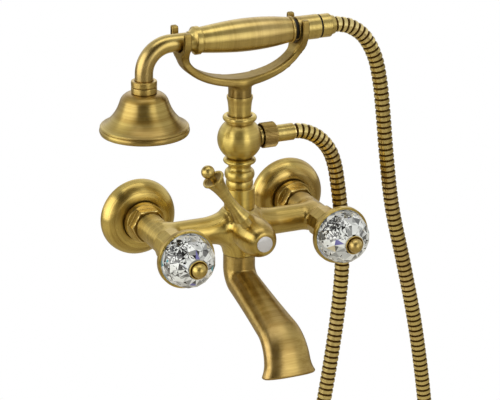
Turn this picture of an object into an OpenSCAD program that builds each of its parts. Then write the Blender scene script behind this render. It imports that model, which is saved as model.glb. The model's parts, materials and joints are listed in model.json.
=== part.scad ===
// Bath shower mixer with cut-crystal handles, a lever diverter, a swan spout,
// a baluster column and a telephone handset that rests in a forked cradle.
// Millimetres. The origin lies on the wall midway between the inlets.
// +Y goes into the wall, +Z is up, hot is at -X and cold at +X.

/* [Inlets] */
// distance between the two inlet axes
inlet_pitch = 150; // [140:1:160]
// drop of the wall thread below the mixer thread
union_throw = 4; // [2:0.5:5]
// length of thread that goes into the wall fitting
wall_thread_l = 20; // [15:1:25]
// outer radius of the escutcheons
escutcheon_r = 36; // [33:0.5:40]
// sheet thickness of the escutcheons
escutcheon_t = 1.4; // [1:0.1:2]
// radius of the round flange on the union nuts
nut_flange_r = 18.5; // [17.5:0.1:20]
// length of the round flange on the union nuts
nut_flange_l = 6.5; // [5:0.5:8]
// width of the union nut hexagons across flats
nut_hex = 29; // [28.4:0.1:31]

/* [Body] */
// distance from the wall to the crossbar and column axes
body_reach = 62; // [60:0.5:68]
// radius of the two valve housings
housing_r = 13; // [12.6:0.1:14]
// radius of the crossbar between the housings
bar_r = 12.3; // [11:0.1:12.3]
// radius of the crossbar where it flares into the centre
flare_r = 16.6; // [15.6:0.1:16.8]
// length of each flare on the crossbar
flare_l = 20; // [14:0.5:26]
// radius of the upper boss under the column
upper_boss_r = 15.2; // [14.4:0.1:16]
// radius of the lower boss above the spout
lower_boss_r = 17.2; // [16.9:0.1:19]
// radius of the boss that carries the diverter
diverter_boss_r = 15.3; // [14.6:0.1:16]
// radius of the waterways in the housings
waterway_r = 8; // [7:0.1:8.5]

/* [Handles] */
// number of sides of the shrouds and cups
handle_sides = 10; // [8:1:12]
// thinnest wall of the shrouds
shroud_wall = 1.5; // [1.2:0.1:2.5]
// length of the shrouds
shroud_l = 19; // [17:0.5:23]
// length of the handle cups
cup_l = 23.6; // [22:0.1:26]
// outer radius of the round cup rims
rim_r = 26.5; // [25:0.5:29]
// wall of the round cup rims
rim_wall = 2.2; // [1.6:0.1:2.6]
// facets round each ring of the cut crystals
crystal_facets = 16; // [12:1:20]
// distance from the crystal centre to its front flat
crystal_face = 22; // [20.5:0.1:22.5]
// radius of the finial balls
finial_r = 6.2; // [5.5:0.1:6.8]
// radius of the finial dishes
dish_r = 8.6; // [7.8:0.1:9]

/* [Diverter] */
// widest radius of the diverter hub
hub_r = 17.3; // [16.6:0.1:18.5]
// length of the diverter hub
hub_l = 33; // [31:0.5:36]
// radius of the index button
button_r = 7.3; // [6.5:0.1:7.8]
// length of the flared lever handle
lever_l = 51.5; // [44:0.5:60]
// tilt of the lever to the left at rest
lever_tilt = 34.5; // [25:0.5:45]
// radius of the flared top of the lever
lever_top_r = 10.2; // [9:0.1:11]
// radius of the waist of the lever
lever_waist_r = 5.7; // [5:0.1:6.5]
// radius of the ball on the lever
lever_ball_r = 6; // [5:0.1:7]

/* [Column] */
// radius of the plain foot of the column
foot_r = 13.9; // [13:0.1:15]
// height of the plain foot of the column
foot_h = 17; // [14:0.5:20]
// radius of the ball on the column
ball_r = 20.1; // [19.5:0.1:22]
// radius of the rings below and above the ball
ring_r = 14.8; // [13:0.1:16]
// radius of the slender neck above the ball
neck_r = 9.4; // [9:0.1:10]
// length of the slender neck above the ball
neck_l = 15; // [12:0.5:18]

/* [Cradle] */
// distance between the two forks
fork_span = 112; // [110:1:116]
// clear gap between the two prongs of a fork
fork_gap = 24.5; // [23.5:0.1:27]
// thickness of each fork along the handset
fork_t = 4.5; // [3.5:0.1:5.5]
// width of each prong
prong_w = 6.2; // [5:0.1:7.5]
// height of the prong tips above the handset axis
prong_h = 11.5; // [8:0.5:14]
// outer radius of the bowed strap
strap_r = 73; // [72:0.5:78]
// thickness of the bowed strap
strap_t = 5.5; // [4.5:0.1:6.5]
// width of the strap at its middle
strap_w = 27; // [24:0.5:30]
// width of the strap where it meets the forks
strap_end_w = 20; // [16:0.5:23]

/* [Handset] */
// outer radius of the elbow tube
elbow_r = 8; // [7.5:0.1:8.4]
// bend radius of the elbow on its centreline
elbow_bend = 25; // [20:0.5:28]
// distance from the left fork to the bell axis
bell_reach = 35; // [32:0.5:40]
// outer radius of the bell at its rim
bell_r = 39.8; // [36:0.2:44]
// height of the bell
bell_h = 35; // [32:0.5:40]
// wall of the bell
bell_wall = 1.6; // [1.2:0.1:2]
// largest radius of the grip
grip_r = 14.6; // [13.6:0.1:16]
// radius of the connector in the right fork
connector_r = 11; // [10.5:0.1:11.5]
// length of the connector
connector_l = 26.6; // [25:0.1:29]

/* [Spout] */
// radius of the spout's round neck
spout_neck_r = 13.1; // [12.6:0.1:14]
// length of the straight run between the two bends
spout_run = 73; // [60:1:90]
// width of the spout's mouth
mouth_w = 46; // [40:0.5:52]
// depth of the spout's mouth
mouth_t = 22; // [20:0.5:26]
// wall of the spout
spout_wall = 2.6; // [2:0.1:3]

/* [Hose] */
// outer radius of the ribbed hose
hose_r = 7; // [6.5:0.1:7]
// number of ribs along the hose
hose_ribs = 196; // [120:1:200]

/* [Hidden] */
$fn = 48;
// finishes
brass = [0.64, 0.52, 0.20];
dark_brass = [0.36, 0.28, 0.11];
glass = [0.90, 0.94, 0.96, 0.55];
white = [0.88, 0.87, 0.92];
rubber = [0.10, 0.10, 0.10];
steel = [0.70, 0.70, 0.68];

// clearances: sliding and screwed fits, gaps that turn, seats of loose pieces, through cuts
fit = 0.05;
turn_gap = 0.4;
seat_gap = 0.3;
cut = 1;

// pipe threads by their major radius
wall_thread_r = 10.4775;
body_thread_r = 13.22;
hose_thread_r = 10.4775;
handset_thread_r = 8.33;

// inlets, as distances from the wall
side_x = inlet_pitch / 2;
escutcheon_eye_r = 8;
escutcheon_depth = (escutcheon_r - escutcheon_eye_r) / 2;
escutcheon_mid_r = escutcheon_r - escutcheon_depth;
drum_l = 8;
drum_margin = 0.3;
drum_r = body_thread_r + union_throw / 2 + drum_margin;
union_rear_bore = 6.5;
union_front_bore = 9;
bore_lap = 2;
nut_gap = 2;
nut_back = escutcheon_depth + nut_gap;
thread_grip = 8;
union_front = nut_back + thread_grip;
washer_t = 2;
washer_r = 12.4;
tail_back = union_front + washer_t;
tail_flange_t = 2.5;
tail_flange_r = body_thread_r - seat_gap;
tail_r = 10.7;
tail_seat = tail_back + tail_flange_t;
nut_shoulder = 2.5;
nut_front = tail_seat + nut_shoulder;
nut_flange_front = nut_back + nut_flange_l;
nut_chamfer = 1.6;
housing_gap = 0.5;
housing_back = nut_front + housing_gap;

// valve housings and headworks
housing_ahead = 16;
housing_front = body_reach + housing_ahead;
headwork_r = 9.1;
headwork_l = 25;
headwork_back = housing_front - headwork_l;
headwork_hex = 20;
headwork_flange = 5;
fibre_t = 1;
fibre_r = 11.6;
hex_back = housing_front + fibre_t;
hex_front = hex_back + headwork_flange;
nose_r = 7;
nose_inset = 3;
spindle_r = 4;
spindle_sides = 8;
spindle_l = 20;
screw_r = 2.05;
screw_l = 11;

// shrouds, cups, crystals and finials
shroud_r = (housing_r + fit + shroud_wall) / cos(180 / handle_sides);
shroud_lap = 2;
shroud_back = housing_front - shroud_lap;
shroud_front = shroud_back + shroud_l;
shroud_face = 5;
hex_clear = 0.6;
shroud_cavity = headwork_hex / sqrt(3) + hex_clear;
shroud_bevel = 3;
cup_back = shroud_front + turn_gap;
cup_front = cup_back + cup_l;
rim_h = 5.5;
rim_lip = 1;
rim_back = cup_front - rim_h;
cup_floor_t = 12.6;
cup_floor = cup_back + cup_floor_t;
broach_l = 8.6;
spindle_front = cup_back + broach_l;
flare_sweep = 60;
flare_steps = 6;
crystal_r = rim_r - rim_wall - seat_gap;
crystal_lift = 2.5;
crystal_z = cup_front + crystal_lift;
crystal_front = crystal_z + crystal_face;
crystal_tip = acos(crystal_face / crystal_r);
crystal_back_r = 13;
crystal_low = 106;
crystal_bands = 4;
stem_r = 4;
stem_clear = 0.6;
finial_lift = 3;
dish_h = 2;
dish_floor = 1;

// body centre and diverter
bar_inset = 0.1;
bar_lift = housing_r - bar_r - bar_inset;
diverter_z = 2.5;
boss_rise = 0.2;
boss_top = diverter_z + diverter_boss_r + boss_rise;
boss_bottom = -25;
boss_neck_r = 15;
boss_taper = 11;
spigot_r = 9;
spigot_l = 10;
bar_bore = 7.4;
boss_ahead = 22;
boss_front = body_reach + boss_ahead;
cartridge_r = 11;
cartridge_wall = 1;
cartridge_back = body_reach + spigot_r + cartridge_wall;
cartridge_nose = 6;
cartridge_port = 6.2;
hub_back = boss_front + turn_gap;
hub_front = hub_back + hub_l;
hub_taper = 1.1;
hub_rear_r = hub_r - hub_taper;
hub_swell = 10;
button_land = 0.9;
hub_tip_r = button_r + button_land;
hub_steps = 8;
hub_floor = 7;
drive_r = 5;
drive_l = 11;
drive_front = hub_back + hub_floor + drive_l;
hub_web = 4;
pocket_floor = drive_front + hub_web;
pocket_r = 5.5;
screw_head_r = 4.2;
screw_head_l = 4;
button_t = 1.7;
button_bevel = 0.7;
lever_ahead = 15.6;
lever_z = hub_back + lever_ahead;
lever_neck_r = 4.8;
lever_root = 11.5;
lever_neck_l = 6;
lever_base = hub_r + lever_neck_l;
lever_base_r = 8.5;
lever_under = 1.8;
lever_edge = 1;
lever_waist = 0.53;
lever_steps = 5;
lever_top = lever_base + lever_l;
lever_lip = 1.9;
lever_recess = 4;
lever_post_r = 2.5;
lever_post_l = 5;
lever_ball_gap = 2.2;
lever_ball_z = lever_top + lever_ball_r + lever_ball_gap;

// column, as heights
seal_t = 1;
foot_z = boss_top + seal_t;
foot_top = foot_z + foot_h;
ring_reach = 20;
ball_rise = 48;
ball_z = foot_top + ball_rise;
waist_h = 10;
waist_r = 10.6;
collar_bead_r = 12;
collar_bead_h = 4.2;
bead_r = 13.5;
bead_h = 4.4;
bead_z = foot_top + waist_h + bead_h;
throat_r = 10.3;
ring_h = 2.8;
ring_low = ball_z - ring_reach;
ring_high = ball_z + ring_reach;
bead_steps = 5;
crown_r = 11.7;
crown_h = 2.4;
neck_top = ring_high + ring_h + neck_l - crown_h;
column_top = neck_top + crown_h;
column_bore = 6;
socket_l = 12;

// side outlet of the column, as distances along +X
outlet_boss_r = 8.6;
outlet_neck_r = 8.4;
outlet_neck_l = 3.4;
outlet_proud = 0.4;
outlet_face = ball_r + outlet_proud;
outlet_tail_r = 7;
outlet_tail_l = 11;
outlet_bore = 5;
outlet_l = 11.5;
hose_nut_r = 11.7;
hose_nut_teeth = 24;
hose_nut_cut = 0.8;
hose_nut_gap = 0.3;
hose_washer_t = 1.6;
ferrule_flange = 1.4;
ferrule_flange_r = 9.6;
ferrule_l = 17;
hose_nut_lip = 1.6;
ferrule_wall = 0.55;
ferrule_back = outlet_face + outlet_l + hose_washer_t;
ferrule_seat = ferrule_back + ferrule_flange;
ferrule_end = ferrule_seat + ferrule_l;
hose_nut_front = ferrule_seat + hose_nut_lip;

// cradle, as heights
stub_r = 10.4;
stub_h = 12.2;
strap_z = column_top + stub_h + strap_r;
strap_sag = (strap_w - strap_end_w) / 2;
fork_x = fork_span / 2;
strap_x = fork_x + fork_t / 2 - seat_gap;
fork_w = fork_gap + 2 * prong_w;
strap_mid_r = strap_r - strap_t / 2;
strap_end_z = strap_z - sqrt(strap_mid_r * strap_mid_r - fork_x * fork_x);
handset_rise = 14.9;
handset_z = strap_end_z + handset_rise;
left_seat = handset_z - elbow_r - seat_gap;
right_seat = handset_z - connector_r - seat_gap;
strap_top = right_seat - seat_gap;
prong_top = handset_z + prong_h;
grub_r = 1.6;
grub_z = column_top - socket_l / 2;

// handset, along X from the middle of the cradle and down from its axis
bell_x = -fork_x - bell_reach;
elbow_wall = 1.6;
elbow_bore = elbow_r - elbow_wall;
bell_drop = 43;
bell_top = handset_z - bell_drop;
bell_bottom = bell_top - bell_h;
bell_shoulder_r = 21.3;
bell_shoulder = 4;
bell_sweep = 70;
bell_waist_r = 29;
bell_waist = 21.4;
bell_steps = 6;
bell_band = 7;
bell_nut_r = 11.4;
bell_groove = 0.5;
bell_neck = 3;
rim_band = 5;
rim_step = 0.9;
plate_t = 2;
plate_inset = 1.5;
plate_seat = 1.2;
nozzle_r = 1.1;
nozzle_rings = 2;
nozzle_first = 6;
nozzle_step = 12;
collar_x = -47;
collar_l = 12;
collar_r = 12.4;
collar_band = 6;
grip_x = collar_x + collar_l;
tube_lap = 3;
connector_x = fork_x - fork_t / 2 - turn_gap;
grip_ring_t = 3.4;
grip_ring_r = 9;
grip_end_x = connector_x - grip_ring_t;
grip_left_r = 12;
grip_right_r = 11.3;
grip_steps = 6;
tube_socket = 9;
connector_end = connector_x + connector_l;
cone_thread_l = 8.5;
cone_back = connector_end - cone_thread_l;
handset_washer_t = 1.5;
handset_bore = 5;
cone_l = 11;
cone_band = 8;
cone_r = 10.3;
cone_lip = 1;
hose_socket = 0.15;
hose_socket_l = 12;
hose_end_x = connector_end + cone_l - hose_socket_l;
cone_tip_r = hose_r + hose_socket + cone_lip;

// spout: bends of the centreline and sections from neck to mouth
spout_z = boss_bottom - seal_t;
spout_drop = 11;
bend_1 = 77;
bend_1_r = 15;
bend_2 = 61;
bend_2_r = 30;
spout_tip = 14;
spout_waist = 10;
swell_power = 2.1;
corner_power = 1.3;
lip_h = 4;
lip_out = 1.3;
lip_steps = 4;
spout_sides = 24;
nipple_gap = 0.8;
nipple_r = spout_neck_r - spout_wall - nipple_gap;
nipple_bore = 7;
nipple_l = 9;
mesh_t = 2;
mesh_inset = 1.5;
mesh_gap = 0.4;
mesh_hole = 2.2;
mesh_pitch = 6;
mesh_columns = 5;
mesh_rows = 2;

// hose: hand-chosen route [x, z] in the plane of the column, from the column to the handset
hose_route = [
    [38, 84], [52, 84], [57, 83.9], [67, 81.3], [79, 74], [89, 62], [95, 47], [98.5, 29],
    [101.5, 8], [104.5, -20], [105, -58], [101.5, -104], [94.5, -156], [86, -210], [77.5, -266],
    [71.5, -322], [69, -376], [69, -424], [74, -469], [89, -506], [113, -530], [144, -538],
    [175, -529], [199, -504], [212, -466], [216, -420], [215, -366], [210, -310], [203, -250],
    [195, -188], [184, -124], [170.5, -64], [156.5, -6], [149, 44], [143.5, 92], [139.5, 121],
    [133.5, 145], [122.5, 164.5], [108.5, 175.5], [96, 179.1], [91, 179.5], [79, 179.5]
];
hose_bore = 4.5;
hose_groove = 0.7;
hose_sides = 8;
hose_steps = 8;

// points of a half-round bulge from r_in out to r_out, centred at z and h to either side
function bulge(r_in, r_out, z, h, n) = [for (i = [0:n])
    [r_in + (r_out - r_in) * sin(180 * i / n), z - h * cos(180 * i / n)]];

// points of a smooth change of radius from a to b
function ease(a, b, n) = [for (i = [0:n])
    [a.x + (b.x - a.x) * (1 - cos(180 * i / n)) / 2, a.y + (b.y - a.y) * i / n]];

// points of a flare that starts along the axis and turns outwards by the given sweep
function flare(a, b, sweep, n) = [for (i = [0:n])
    [a.x + (b.x - a.x) * (1 - cos(sweep * i / n)) / (1 - cos(sweep)),
     a.y + (b.y - a.y) * sin(sweep * i / n) / sin(sweep)]];

// radius of the circle that rises by h over the length l and starts parallel to it
function sag_radius(l, h) = (l * l + h * h) / (2 * h);

// places children on an axis that runs out of the wall
module from_wall(x, z) {
    translate([x, 0, z]) rotate([90, 0, 0]) children();
}

// places children on an axis along +X
module along_x(z) {
    translate([0, -body_reach, z]) rotate([0, 90, 0]) children();
}

// places children on a vertical axis
module upright(x) {
    translate([x, -body_reach, 0]) children();
}

// places children on an inlet axis, hot at -1 and cold at 1
module inlet(side) {
    from_wall(side * side_x, 0) children();
}

module rod(r, low, high) {
    translate([0, 0, low]) cylinder(r = r, h = high - low);
}

module tube(r, bore, low, high) {
    rotate_extrude() translate([bore, low]) square([r - bore, high - low]);
}

module prism(r, sides, low, high) {
    translate([0, 0, low]) cylinder(r = r, h = high - low, $fn = sides);
}

module lathe(points) {
    rotate_extrude() polygon(points);
}

// inlets

module eccentric_union() {
    difference() {
        union() {
            translate([0, -union_throw, 0]) rod(wall_thread_r, -wall_thread_l, bore_lap);
            translate([0, -union_throw / 2, 0]) rod(drum_r, 0, drum_l);
            rod(body_thread_r, drum_l - bore_lap, union_front);
        }
        translate([0, -union_throw, 0]) rod(union_rear_bore, -wall_thread_l - cut, drum_l - bore_lap);
        rod(union_front_bore, drum_l - 2 * bore_lap, union_front + cut);
    }
}

module escutcheon() {
    rotate_extrude() difference() {
        translate([escutcheon_mid_r, 0]) circle(escutcheon_depth);
        translate([escutcheon_mid_r, 0]) circle(escutcheon_depth - escutcheon_t);
        translate([0, -escutcheon_r]) square([2 * escutcheon_r, escutcheon_r]);
        square([body_thread_r + fit, escutcheon_r]);
    }
}

module union_nut() {
    corner = nut_hex / sqrt(3);
    difference() {
        union() {
            rod(nut_flange_r, nut_back, nut_flange_front);
            intersection() {
                prism(corner, 6, nut_back, nut_front);
                lathe([[0, nut_back], [corner, nut_back],
                       [corner, nut_front - nut_chamfer / 2],
                       [nut_hex / 2 - nut_chamfer / 2, nut_front], [0, nut_front]]);
            }
        }
        rod(body_thread_r + fit, nut_back - cut, tail_seat);
        rod(tail_r + seat_gap, tail_seat - cut, nut_front + cut);
    }
}

module inlet_washer() {
    tube(washer_r, union_front_bore, union_front, tail_back);
}

// handles

module headwork() {
    difference() {
        union() {
            rod(headwork_r, headwork_back, hex_front);
            prism(headwork_hex / sqrt(3), 6, hex_back, hex_front);
            rod(nose_r, hex_back, shroud_front - nose_inset);
        }
        rod(spindle_r + fit, headwork_back - cut, shroud_front);
    }
}

module headwork_washer() {
    tube(fibre_r, headwork_r + fit, housing_front, hex_back);
}

module shroud() {
    difference() {
        intersection() {
            prism(shroud_r, handle_sides, shroud_back, shroud_front);
            lathe([[0, shroud_back], [housing_r + shroud_wall / 2, shroud_back],
                   [shroud_r, shroud_back + shroud_bevel], [shroud_r, shroud_front], [0, shroud_front]]);
        }
        rod(housing_r + fit, shroud_back - cut, housing_front);
        rod(shroud_cavity, housing_front - cut, shroud_front - shroud_face);
        rod(nose_r + fit, shroud_back, shroud_front + cut);
    }
}

module valve_spindle() {
    difference() {
        union() {
            rod(spindle_r, housing_front - spindle_l, shroud_front - nose_inset);
            prism(spindle_r, spindle_sides, housing_front, spindle_front);
        }
        rod(screw_r + fit, spindle_front - screw_l, spindle_front + cut);
    }
}

// crystal ring at a polar angle from the front, as [radius, distance from the wall]
function crystal_ring(angle) = [crystal_r * sin(angle), crystal_z + crystal_r * cos(angle)];

module cup() {
    low = crystal_ring(crystal_low);
    difference() {
        union() {
            rotate_extrude($fn = handle_sides)
                polygon(concat([[0, cup_back]],
                               flare([shroud_r, cup_back], [rim_r - rim_lip, rim_back + rim_lip],
                                     flare_sweep, flare_steps),
                               [[0, rim_back + rim_lip]]));
            lathe([[0, rim_back], [rim_r - rim_lip, rim_back], [rim_r, rim_back + rim_lip],
                   [rim_r, cup_front - rim_lip], [rim_r - rim_lip, cup_front], [0, cup_front]]);
        }
        lathe([[0, cup_floor], [crystal_back_r + seat_gap, cup_floor],
               [low.x + seat_gap, low.y - seat_gap], [crystal_r + seat_gap, cup_front + cut],
               [0, cup_front + cut]]);
        prism(spindle_r + fit, spindle_sides, cup_back - cut, spindle_front);
        rod(stem_r + seat_gap, spindle_front, cup_floor + cut);
    }
}

// cut ball of triangular facets: rings of vertices, each turned half a facet from the one before
module crystal() {
    n = crystal_facets;
    bore = stem_r + stem_clear;
    angles = [for (i = [0:crystal_bands]) crystal_tip + (crystal_low - crystal_tip) * i / crystal_bands];
    rings = concat([[bore, crystal_front]], [for (a = angles) crystal_ring(a)],
                   [[crystal_back_r, cup_floor], [bore, cup_floor]]);
    count = len(rings);
    points = [for (i = [0:count - 1]) for (k = [0:n - 1])
        let (a = 360 * (k + i / 2) / n) [rings[i].x * cos(a), rings[i].x * sin(a), rings[i].y]];
    faces = [for (i = [0:count - 1]) for (k = [0:n - 1])
        let (j = (i + 1) % count, s = i == count - 1 ? -floor(count / 2) : 0,
             p = i * n + k, q = i * n + (k + 1) % n,
             u = j * n + (k - s + n) % n, v = j * n + (k - s + n - 1) % n)
        each [[p, q, u], [p, u, v]]];
    polyhedron(points, faces);
}

module finial() {
    tip = crystal_front + finial_lift;
    union() {
        rod(screw_r, spindle_front - screw_l + cut, spindle_front + cut);
        rod(stem_r, spindle_front + turn_gap, crystal_front + dish_floor / 2);
        lathe([[0, crystal_front], [dish_r - dish_h, crystal_front], [dish_r, crystal_front + dish_h / 2],
               [dish_r, crystal_front + dish_h], [dish_r - dish_floor, crystal_front + dish_h],
               [dish_r - 2 * dish_h, crystal_front + dish_floor], [0, crystal_front + dish_floor]]);
        rotate_extrude() intersection() {
            translate([0, tip]) circle(finial_r);
            translate([0, crystal_front + dish_floor / 2]) square([finial_r, 2 * finial_r + finial_lift]);
        }
    }
}

// body

module crossbar() {
    rise = flare_r - bar_r;
    along_x(bar_lift) rod(bar_r, -side_x, side_x);
    for (side = [-1, 1])
        translate([0, -body_reach, bar_lift]) rotate([0, 90 * side, 0])
            rotate_extrude() difference() {
                square([flare_r, diverter_boss_r + flare_l]);
                translate([bar_r + sag_radius(flare_l, rise), diverter_boss_r + flare_l])
                    circle(sag_radius(flare_l, rise), $fn = 96);
            }
}

module body_casting() {
    for (side = [-1, 1])
        inlet(side) {
            rod(housing_r, housing_back, housing_front);
            rod(tail_r, tail_back, housing_back + cut);
            rod(tail_flange_r, tail_back, tail_seat);
        }
    crossbar();
    upright(0) {
        rod(upper_boss_r, 0, boss_top);
        lathe([[0, boss_bottom], [boss_neck_r, boss_bottom], [lower_boss_r, boss_bottom + boss_taper],
               [lower_boss_r, 0], [0, 0]]);
    }
    from_wall(0, diverter_z) rod(diverter_boss_r, body_reach, boss_front);
}

module body_bores() {
    for (side = [-1, 1])
        inlet(side) {
            rod(waterway_r, tail_back - cut, headwork_back);
            rod(headwork_r + fit, headwork_back - cut, housing_front + cut);
        }
    along_x(bar_lift) rod(bar_bore, -side_x, side_x);
    upright(0) {
        rod(waterway_r, boss_bottom - cut, boss_top + cut);
        rod(spigot_r + fit, boss_top - spigot_l, boss_top + cut);
        rod(nipple_r + fit, boss_bottom - cut, boss_bottom + nipple_l);
    }
    from_wall(0, diverter_z) {
        rod(cartridge_port, body_reach, cartridge_back + cut);
        rod(cartridge_r + fit, cartridge_back, boss_front + cut);
    }
}

module mixer_body() {
    color(brass) difference() {
        body_casting();
        body_bores();
    }
}

// diverter

module on_diverter() {
    from_wall(0, diverter_z) children();
}

// places children along the lever, out from the hub axis
module on_lever() {
    translate([0, -lever_z, diverter_z]) rotate([0, -lever_tilt, 0]) children();
}

module diverter_cartridge() {
    color(steel) on_diverter() difference() {
        union() {
            rod(cartridge_r, cartridge_back, boss_front);
            rod(nose_r, cartridge_back, boss_front + cartridge_nose);
        }
        rod(drive_r + fit, cartridge_back - cut, boss_front + cartridge_nose + cut);
    }
}

module diverter_spindle() {
    color(brass) on_diverter() difference() {
        union() {
            rod(drive_r, cartridge_back + cut, hub_back + hub_floor);
            prism(drive_r, spindle_sides, hub_back, drive_front);
        }
        rod(screw_r + fit, drive_front - screw_l, drive_front + cut);
    }
}

module diverter_hub() {
    swell = hub_back + hub_swell;
    dome = [for (i = [0:hub_steps])
        [hub_tip_r + (hub_r - hub_tip_r) * cos(90 * i / hub_steps),
         swell + (hub_front - swell) * sin(90 * i / hub_steps)]];
    color(brass) difference() {
        on_diverter() lathe(concat([[0, hub_back], [hub_rear_r, hub_back]], dome, [[0, hub_front]]));
        on_diverter() {
            rod(nose_r + seat_gap, hub_back - cut, hub_back + hub_floor);
            prism(drive_r + fit, spindle_sides, hub_back, drive_front);
            rod(screw_r + seat_gap, drive_front - cut, pocket_floor + cut);
            rod(pocket_r, pocket_floor, hub_front + cut);
        }
        on_lever() rod(lever_neck_r + fit, lever_root, lever_base);
    }
}

module hub_screw() {
    color(steel) on_diverter() {
        rod(screw_r, drive_front - screw_l + cut, pocket_floor + cut);
        rod(screw_head_r, pocket_floor, pocket_floor + screw_head_l);
    }
}

module index_button() {
    color(white) on_diverter()
        lathe([[0, pocket_floor + screw_head_l + cut], [pocket_r - fit, pocket_floor + screw_head_l + cut],
               [pocket_r - fit, hub_front], [button_r, hub_front],
               [button_r, hub_front + button_t - button_bevel],
               [button_r - button_bevel, hub_front + button_t], [0, hub_front + button_t]]);
}

module lever() {
    foot = lever_base + lever_edge;
    waist = lever_base + lever_l * lever_waist;
    lip = lever_top - lever_lip;
    color(brass) on_lever() difference() {
        lathe(concat([[0, lever_root], [lever_neck_r, lever_root], [lever_neck_r, lever_base - lever_under],
                      [lever_base_r, lever_base]],
                     ease([lever_base_r, foot], [lever_waist_r, waist], lever_steps),
                     flare([lever_waist_r, waist], [lever_top_r - lever_edge, lip],
                           flare_sweep, lever_steps),
                     [[lever_top_r, lip], [lever_top_r, lever_top - lever_edge],
                      [lever_top_r - lever_edge, lever_top], [0, lever_top]]));
        rod(lever_top_r - lever_lip, lever_top - lever_recess, lever_top + cut);
        rod(lever_post_r + fit, lever_top - lever_recess - lever_post_l, lever_top);
    }
}

module lever_ball() {
    color(brass) on_lever() {
        rod(lever_post_r, lever_top - lever_recess - lever_post_l, lever_ball_z);
        translate([0, 0, lever_ball_z]) sphere(lever_ball_r);
    }
}

// spout

// one stretch of the centreline: from [distance, height, angle], a length and a turn, in n steps
function stretch_at(s, length, turn) = turn == 0
    ? [s.x + length * sin(s.z), s.y - length * cos(s.z), s.z]
    : let (r = length / (turn * PI / 180))
      [s.x + r * (cos(s.z) - cos(s.z + turn)), s.y - r * (sin(s.z + turn) - sin(s.z)), s.z + turn];

spout_parts = [[spout_drop, 0, 2], [bend_1_r * bend_1 * PI / 180, bend_1, 6], [spout_run, 0, 4],
               [bend_2_r * bend_2 * PI / 180, -bend_2, 6], [spout_tip - lip_h, 0, 2]];

// centreline stations as [distance, height, angle, length from the top]
function stations(s, parts, i, done) = i == len(parts) ? [] :
    let (part = parts[i], n = part[2])
    concat([for (k = [0:n - 1])
               concat(stretch_at(s, part[0] * k / n, part[1] * k / n), [done + part[0] * k / n])],
           stations(stretch_at(s, part[0], part[1]), parts, i + 1, done + part[0]));
spout_line = stations([body_reach, spout_z, 0], spout_parts, 0, 0);
function total(parts, i) = i == len(parts) ? 0 : parts[i][0] + total(parts, i + 1);
spout_l = total(spout_parts, 0);
function finish(s, parts, i) = i == len(parts) ? s :
    finish(stretch_at(s, parts[i][0], parts[i][1]), parts, i + 1);
spout_end = finish([body_reach, spout_z, 0], spout_parts, 0);

function power(base, p) = sign(base) * pow(abs(base), p);

// half width and half depth of the section at the share u of the length
function section_w(u) = spout_neck_r + (mouth_w / 2 - spout_neck_r) * pow(u, swell_power);
function section_t(u) =
    spout_neck_r * pow(1 - u, 2) + 2 * spout_waist * u * (1 - u) + mouth_t / 2 * pow(u, 2);

// ring of points round a station; grow is added to both half sizes
function spout_ring(s, u, grow) = [for (k = [0:spout_sides - 1])
    let (a = 360 * k / spout_sides, p = 2 / (2 + corner_power * u),
         w = (section_w(u) + grow) * power(cos(a), p), t = (section_t(u) + grow) * power(sin(a), p))
    [w, -(s.x + t * cos(s.z)), s.y + t * sin(s.z)]];

module spout() {
    n = spout_sides;
    lip = [for (i = [0:lip_steps]) let (a = 180 * i / lip_steps)
        [stretch_at(spout_end, lip_h * (1 - cos(a)) / 2, 0), lip_out * sin(a)]];
    outer = concat([for (s = spout_line) spout_ring(s, s[3] / spout_l, 0)],
                   [for (r = lip) spout_ring(r[0], 1, r[1])]);
    inner = concat([spout_ring(stretch_at(spout_end, lip_h, 0), 1, -spout_wall)],
                   [for (i = [len(spout_line) - 1:-1:0])
                       spout_ring(spout_line[i], spout_line[i][3] / spout_l, -spout_wall)]);
    rings = concat(outer, inner);
    count = len(rings);
    faces = [for (i = [0:count - 1]) for (k = [0:n - 1])
        let (p = i * n + k, q = i * n + (k + 1) % n, u = (i + 1) % count * n + (k + 1) % n,
             v = (i + 1) % count * n + k)
        each [[p, u, q], [p, v, u]]];
    color(brass) polyhedron([for (r = rings) each r], faces);
}

module flow_straightener() {
    w = section_w(1) - spout_wall - mesh_gap;
    t = section_t(1) - spout_wall - mesh_gap;
    p = 2 / (2 + corner_power);
    place = stretch_at(spout_end, lip_h - mesh_inset, 0);
    color(dark_brass) translate([0, -place.x, place.y]) rotate([-spout_end.z, 0, 0])
        linear_extrude(mesh_t) difference() {
            polygon([for (k = [0:spout_sides - 1]) let (a = 360 * k / spout_sides)
                [w * power(cos(a), p), -t * power(sin(a), p)]]);
            for (x = [1:mesh_columns]) for (y = [1:mesh_rows])
                translate(mesh_pitch * [x - (mesh_columns + 1) / 2, y - (mesh_rows + 1) / 2])
                    circle(mesh_hole);
        }
}

module spout_nipple() {
    color(brass) upright(0) tube(nipple_r, nipple_bore, spout_z - nipple_l, boss_bottom + nipple_l);
}

module spout_seal() {
    color(rubber) upright(0) tube(spout_neck_r - seat_gap, nipple_r + fit, spout_z, boss_bottom);
}

// column

module column_seal() {
    color(rubber) upright(0) tube(foot_r - seat_gap, spigot_r + fit, boss_top, foot_z);
}

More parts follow.
